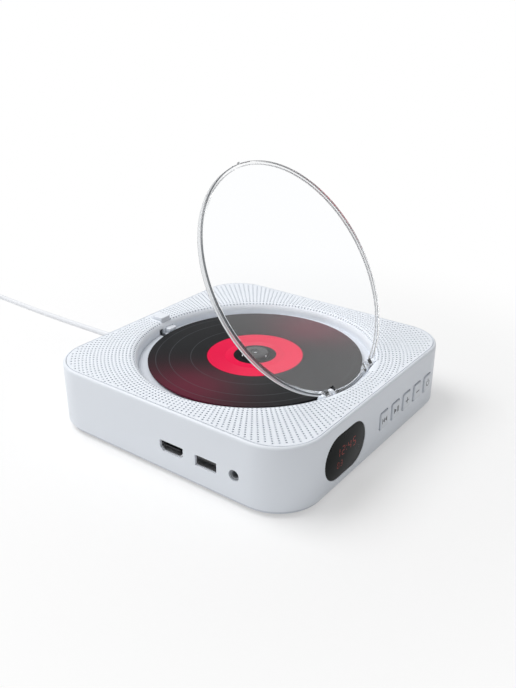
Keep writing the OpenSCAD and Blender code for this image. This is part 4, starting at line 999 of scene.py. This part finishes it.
def makeDisplay(d):
    x, ends = d["front"], (d["front"] - 0.05, d["front"] + 0.015)
    bm = bmesh.new()
    loft(bm, [onSide(pillLoop(d["wide"] - 2 * t, d["tall"] - 2 * t), "x", at, (d["y"], d["z"]))
              for at, t in ((x - 1.7, 0.1), (x - 0.35, 0.0), (x - 0.1, 0.08), (x, 0.35))])
    place(finishMesh("displayPane", bm, [windowBlack]), "housing", "display_glass", "display_window")

    glow = bmesh.new()

    def lit(u, v, w, h, corner):
        straight(glow, rectLoop(w, h, corner, 2), "x", ends, (d["y"] + u, d["z"] + v))

    for marks, v, tall in d["rows"]:
        half, thick = tall / 2, tall * 0.07
        for mark, u in marks:
            for name in digitForms[mark].split():
                a, b, flat, _ = segmentBars[name]
                w, h = (tall * 0.42, thick) if flat else (thick, tall * 0.4)
                lit(u + a * tall * 0.26, v + b * half, w, h, min(w, h) * 0.45)
    for v in d["colon"][1:]:
        lit(d["colon"][0], v, 0.5, 0.5, 0.2)
    place(finishMesh("displayDigits", glow, [digitRed]), "housing", "display_module")


makeDisplay(display)
print("keys and display made")


# sockets on the -Y side

def makeSockets(p):
    front, z = p["front"], p["z"]

    def case(bm, outer, inner, centre, back, inside, plate):
        # open in front, with a plate behind
        loft(bm, [onSide(outer, "-y", y, centre) for y in (front, back)]
             + [onSide(inner, "-y", y, centre) for y in (inside, front)], closed=True)
        straight(bm, inner, "-y", plate, centre)

    def contacts(bm, count, first, pitch, half, low, high):
        for i in range(count):
            u = first + i * pitch
            box(bm, (u - half, -80.2, low), (u + half, -72, high), slot=2)

    x, wide, tall = p["video"]
    bm = bmesh.new()
    case(bm, videoLoop(wide, tall, -0.05), videoLoop(wide, tall, -0.5), (x, z + tall / 2), -70.4, -71.0,
         (-71.4, -70.9))
    box(bm, (x - 5.0, -80.6, z + 2.75), (x + 5.0, -71.0, z + 3.35), slot=1)
    contacts(bm, 9, x - 4.4, 1.1, 0.2, z + 2.68, z + 2.78)
    place(finishMesh("videoSocket", bm, [plated, blackPlastic, steel]), "housing", "plated_steel", "video_socket")
    x, wide, tall = p["data"]
    bm = bmesh.new()
    case(bm, rectLoop(wide - 0.1, tall - 0.1, 0.4, 3), rectLoop(wide - 0.9, tall - 0.9, 0.3, 3), (x, z + tall / 2),
         -68.0, -68.4, (-69.0, -68.2))
    box(bm, (x - 5.2, -80.7, z + 3.5), (x + 5.2, -68.5, z + 5.1), slot=1)
    contacts(bm, 4, x - 3.5, 2.33, 0.5, z + 3.42, z + 3.55)
    place(finishMesh("dataSocket", bm, [plated, blackPlastic, steel]), "housing", "plated_steel", "data_socket")
    x, zc, r = p["phone"]
    bm = bmesh.new()
    turn = Matrix.Translation((x, 0, zc)) @ Matrix.Rotation(math.pi / 2, 4, "X")
    lathe(bm, [(1.8, 69.3), (1.8, 80.9), (2.05, -front), (r - 0.25, -front), (r - 0.08, 81.0), (r - 0.08, 69.3)], 40,
          turn, closed=True)
    lathe(bm, [(0, 69.2), (r - 0.2, 69.2), (r - 0.2, 70.0), (0, 70.0)], 32, turn)
    box(bm, (x - 3.5, -79.4, z + 0.02), (x + 3.5, -67.9, z + 0.6))
    place(finishMesh("phoneSocket", bm, [greyPlastic]), "housing", "black_plastic", "phone_socket")


makeSockets(ports)


# release key and catch

# key: x from and to, half width, top. Its edge: depth under the top, and how far it draws in.
# catch: x from and to, half width, z from and to
release = dict(key=(-75.4, -67.4, 3.8, 40.0), keyCorner=0.9,
               keyEdge=((4.6, 0.1), (0.55, 0.0), (0.2, 0.12), (0.05, 0.35), (0, 0.8)),
               catch=(-68.4, -61.8, 3.2, 31.7, 34.1), catchRound=0.25)


def makeRelease(r):
    x0, x1, y, z1 = r["key"]
    bm = bmesh.new()
    loops = []
    for down, trim in r["keyEdge"]:
        flat = rectLoop(x1 - x0 - 2 * trim, 2 * y - 2 * trim, r["keyCorner"])
        loops.append([Vector(((x0 + x1) / 2 + u, v, z1 - down)) * mm for u, v in flat])
    loft(bm, loops)
    place(finishMesh("releaseKey", bm, [white]), "release", "white_plastic", "release_key")
    x0, x1, y, z0, z1 = r["catch"]
    bm = bmesh.new()
    flat = [(x0, z0), (x1 - 0.9, z0), (x1, z0 + 0.7), (x1, z1 - 0.5), (x1 - 0.5, z1), (x0, z1)]
    loft(bm, [[Vector((u, side * y, v)) * mm for u, v in flat] for side in (-1, 1)])
    catch = bevel(finishMesh("lidCatch", bm, [white]), r["catchRound"])
    place(catch, "catch", "white_plastic", "lid_catch")


makeRelease(release)


# hinge brackets and feet

bracket = dict(earR=2.4, earHalf=0.98, earAt=3.8, low=31.4, base=32.4, baseHalf=4.75, round=0.2)


def makeBrackets(l, k):
    x, r = l["hingeX"], k["earR"]
    flat = [(x - r, k["low"]), (x + r, k["low"])]
    flat += [(x + r * math.cos(a), l["hingeZ"] + r * math.sin(a)) for a in (math.pi * i / 16 for i in range(17))]
    for number, s in ((1, -1), (2, 1)):
        y = s * l["hingeY"]
        bm = bmesh.new()
        for e in (-1, 1):
            loft(bm, [[Vector((u, y + e * k["earAt"] + side * k["earHalf"], v)) * mm for u, v in flat]
                      for side in (-1, 1)])
        box(bm, (x - r + 0.02, y - k["baseHalf"], k["low"] + 0.01), (x + r - 0.02, y + k["baseHalf"], k["base"]))
        obj = bevel(finishMesh("hingeBracket%d" % number, bm, [white]), k["round"])
        place(obj, "housing", "white_plastic", "hinge_bracket_%d" % number)


makeBrackets(lidParts, bracket)

feet = dict(at=62.0, radius=6.0, height=1.6)


def makeFeet(f):
    r, h = f["radius"], f["height"]
    profile = [(0, 0.15), (r - 2.4, 0.15), (r - 2.0, 0), (r - 0.7, 0), (r - 0.2, 0.15), (r, 0.6), (r, h), (0, h)]
    for i in range(4):
        x, y = (-1 if i % 2 == 0 else 1) * f["at"], (-1 if i < 2 else 1) * f["at"]
        bm = bmesh.new()
        lathe(bm, profile, 48, Matrix.Translation((x, y, 0)))
        place(finishMesh("foot%d" % (i + 1), bm, [rubberBlack]), "housing", "rubber", "foot_%d" % (i + 1))


makeFeet(feet)
print("small parts made")


# finishes of the parts that come from the frame

finishes = [
    (paleWhite, "disc_tray bottom_cover"),
    (steel, "hinge_pin_1 hinge_pin_2 lid_springs release_spring spindle hub_balls guide_rod_1 guide_rod_2 gear_axle "
            "speaker_1 speaker_2 case_screws"),
    (plated, "chassis spindle_motor sled_motor"),
    (rubberBlack, "dampers"),
    (blackPlastic, "lid_switch pickup_sled board_chips power_socket key_switches display_module"),
    (coneBlack, "speaker_cone_1 speaker_cone_2"),
    (gearNylon, "sled_rack drive_gear motor_pinion"),
    (lensGlass, "pickup_lens"),
    (boardGreen, "main_board power_board key_board"),
]
for material, names in finishes:
    for name in names.split():
        mesh = nodes[name].data
        mesh.materials.clear()
        mesh.materials.append(material)
        smoothed(mesh, 30)


# studio

studio = dict(reach=40.0, floor=rgb(252, 252, 252), fadeFrom=0.12, fadeTo=0.3, fadeStart=0.42, worldLevel=0.36,
              keyPower=22.0, keyFrom=(-0.81, -0.37, 1.45), keySize=1.2)


def paleBackdrop(tree, plain, kind, fade=1.0):
    # to the camera, in gloss and through glass the far part is plain white
    path = tree.nodes.new("ShaderNodeLightPath").outputs
    seen = maths(tree, "MAXIMUM", maths(tree, "MAXIMUM", path["Is Camera Ray"], path["Is Glossy Ray"]),
                 path["Is Transmission Ray"])
    glow = wire(tree, kind, {"Color": (1, 1, 1, 1), "Strength": 1.0})
    return wire(tree, "ShaderNodeMixShader", {0: maths(tree, "MULTIPLY", seen, fade), 1: plain.outputs[0],
                                              2: glow.outputs[0]}).outputs[0]


def makeStudio(s):
    bm = bmesh.new()
    reach = s["reach"]
    bm.faces.new([bm.verts.new((x * reach, y * reach, 0)) for x, y in ((-1, -1), (1, -1), (1, 1), (-1, 1))])
    material, tree, shader = newMaterial("paleFloor")
    away = wire(tree, "ShaderNodeVectorMath", {0: objectPlace(tree)}, operation="LENGTH").outputs["Value"]
    fade = wire(tree, "ShaderNodeMapRange", {"Value": away, "From Min": s["fadeFrom"], "From Max": s["fadeTo"],
                                             "To Min": s["fadeStart"]}, interpolation_type="SMOOTHSTEP").outputs[0]
    feed(tree, shader, {"Base Color": s["floor"], "Roughness": 0.6, "Specular IOR Level": 0.2})
    feed(tree, tree.nodes["Material Output"], {"Surface": paleBackdrop(tree, shader, "ShaderNodeEmission", fade)})
    finishMesh("floor", bm, [material], clean=False)

    world = bpy.data.worlds.new("studio")
    scene.world = world
    world.use_nodes = True
    tree = world.node_tree
    soft = feed(tree, tree.nodes["Background"], {"Color": (1.0, 1.0, 1.0, 1.0), "Strength": s["worldLevel"]})
    feed(tree, tree.nodes["World Output"], {"Surface": paleBackdrop(tree, soft, "ShaderNodeBackground")})

    data = bpy.data.lights.new("keyLight", "AREA")
    data.shape, data.size, data.size_y, data.energy = "RECTANGLE", s["keySize"], s["keySize"], s["keyPower"]
    lamp = bpy.data.objects.new("keyLight", data)
    scene.collection.objects.link(lamp)
    lamp.location = s["keyFrom"]
    lamp.rotation_mode = "QUATERNION"
    lamp.rotation_quaternion = (-Vector(s["keyFrom"])).to_track_quat("-Z", "Y")


makeStudio(studio)
print("studio made")
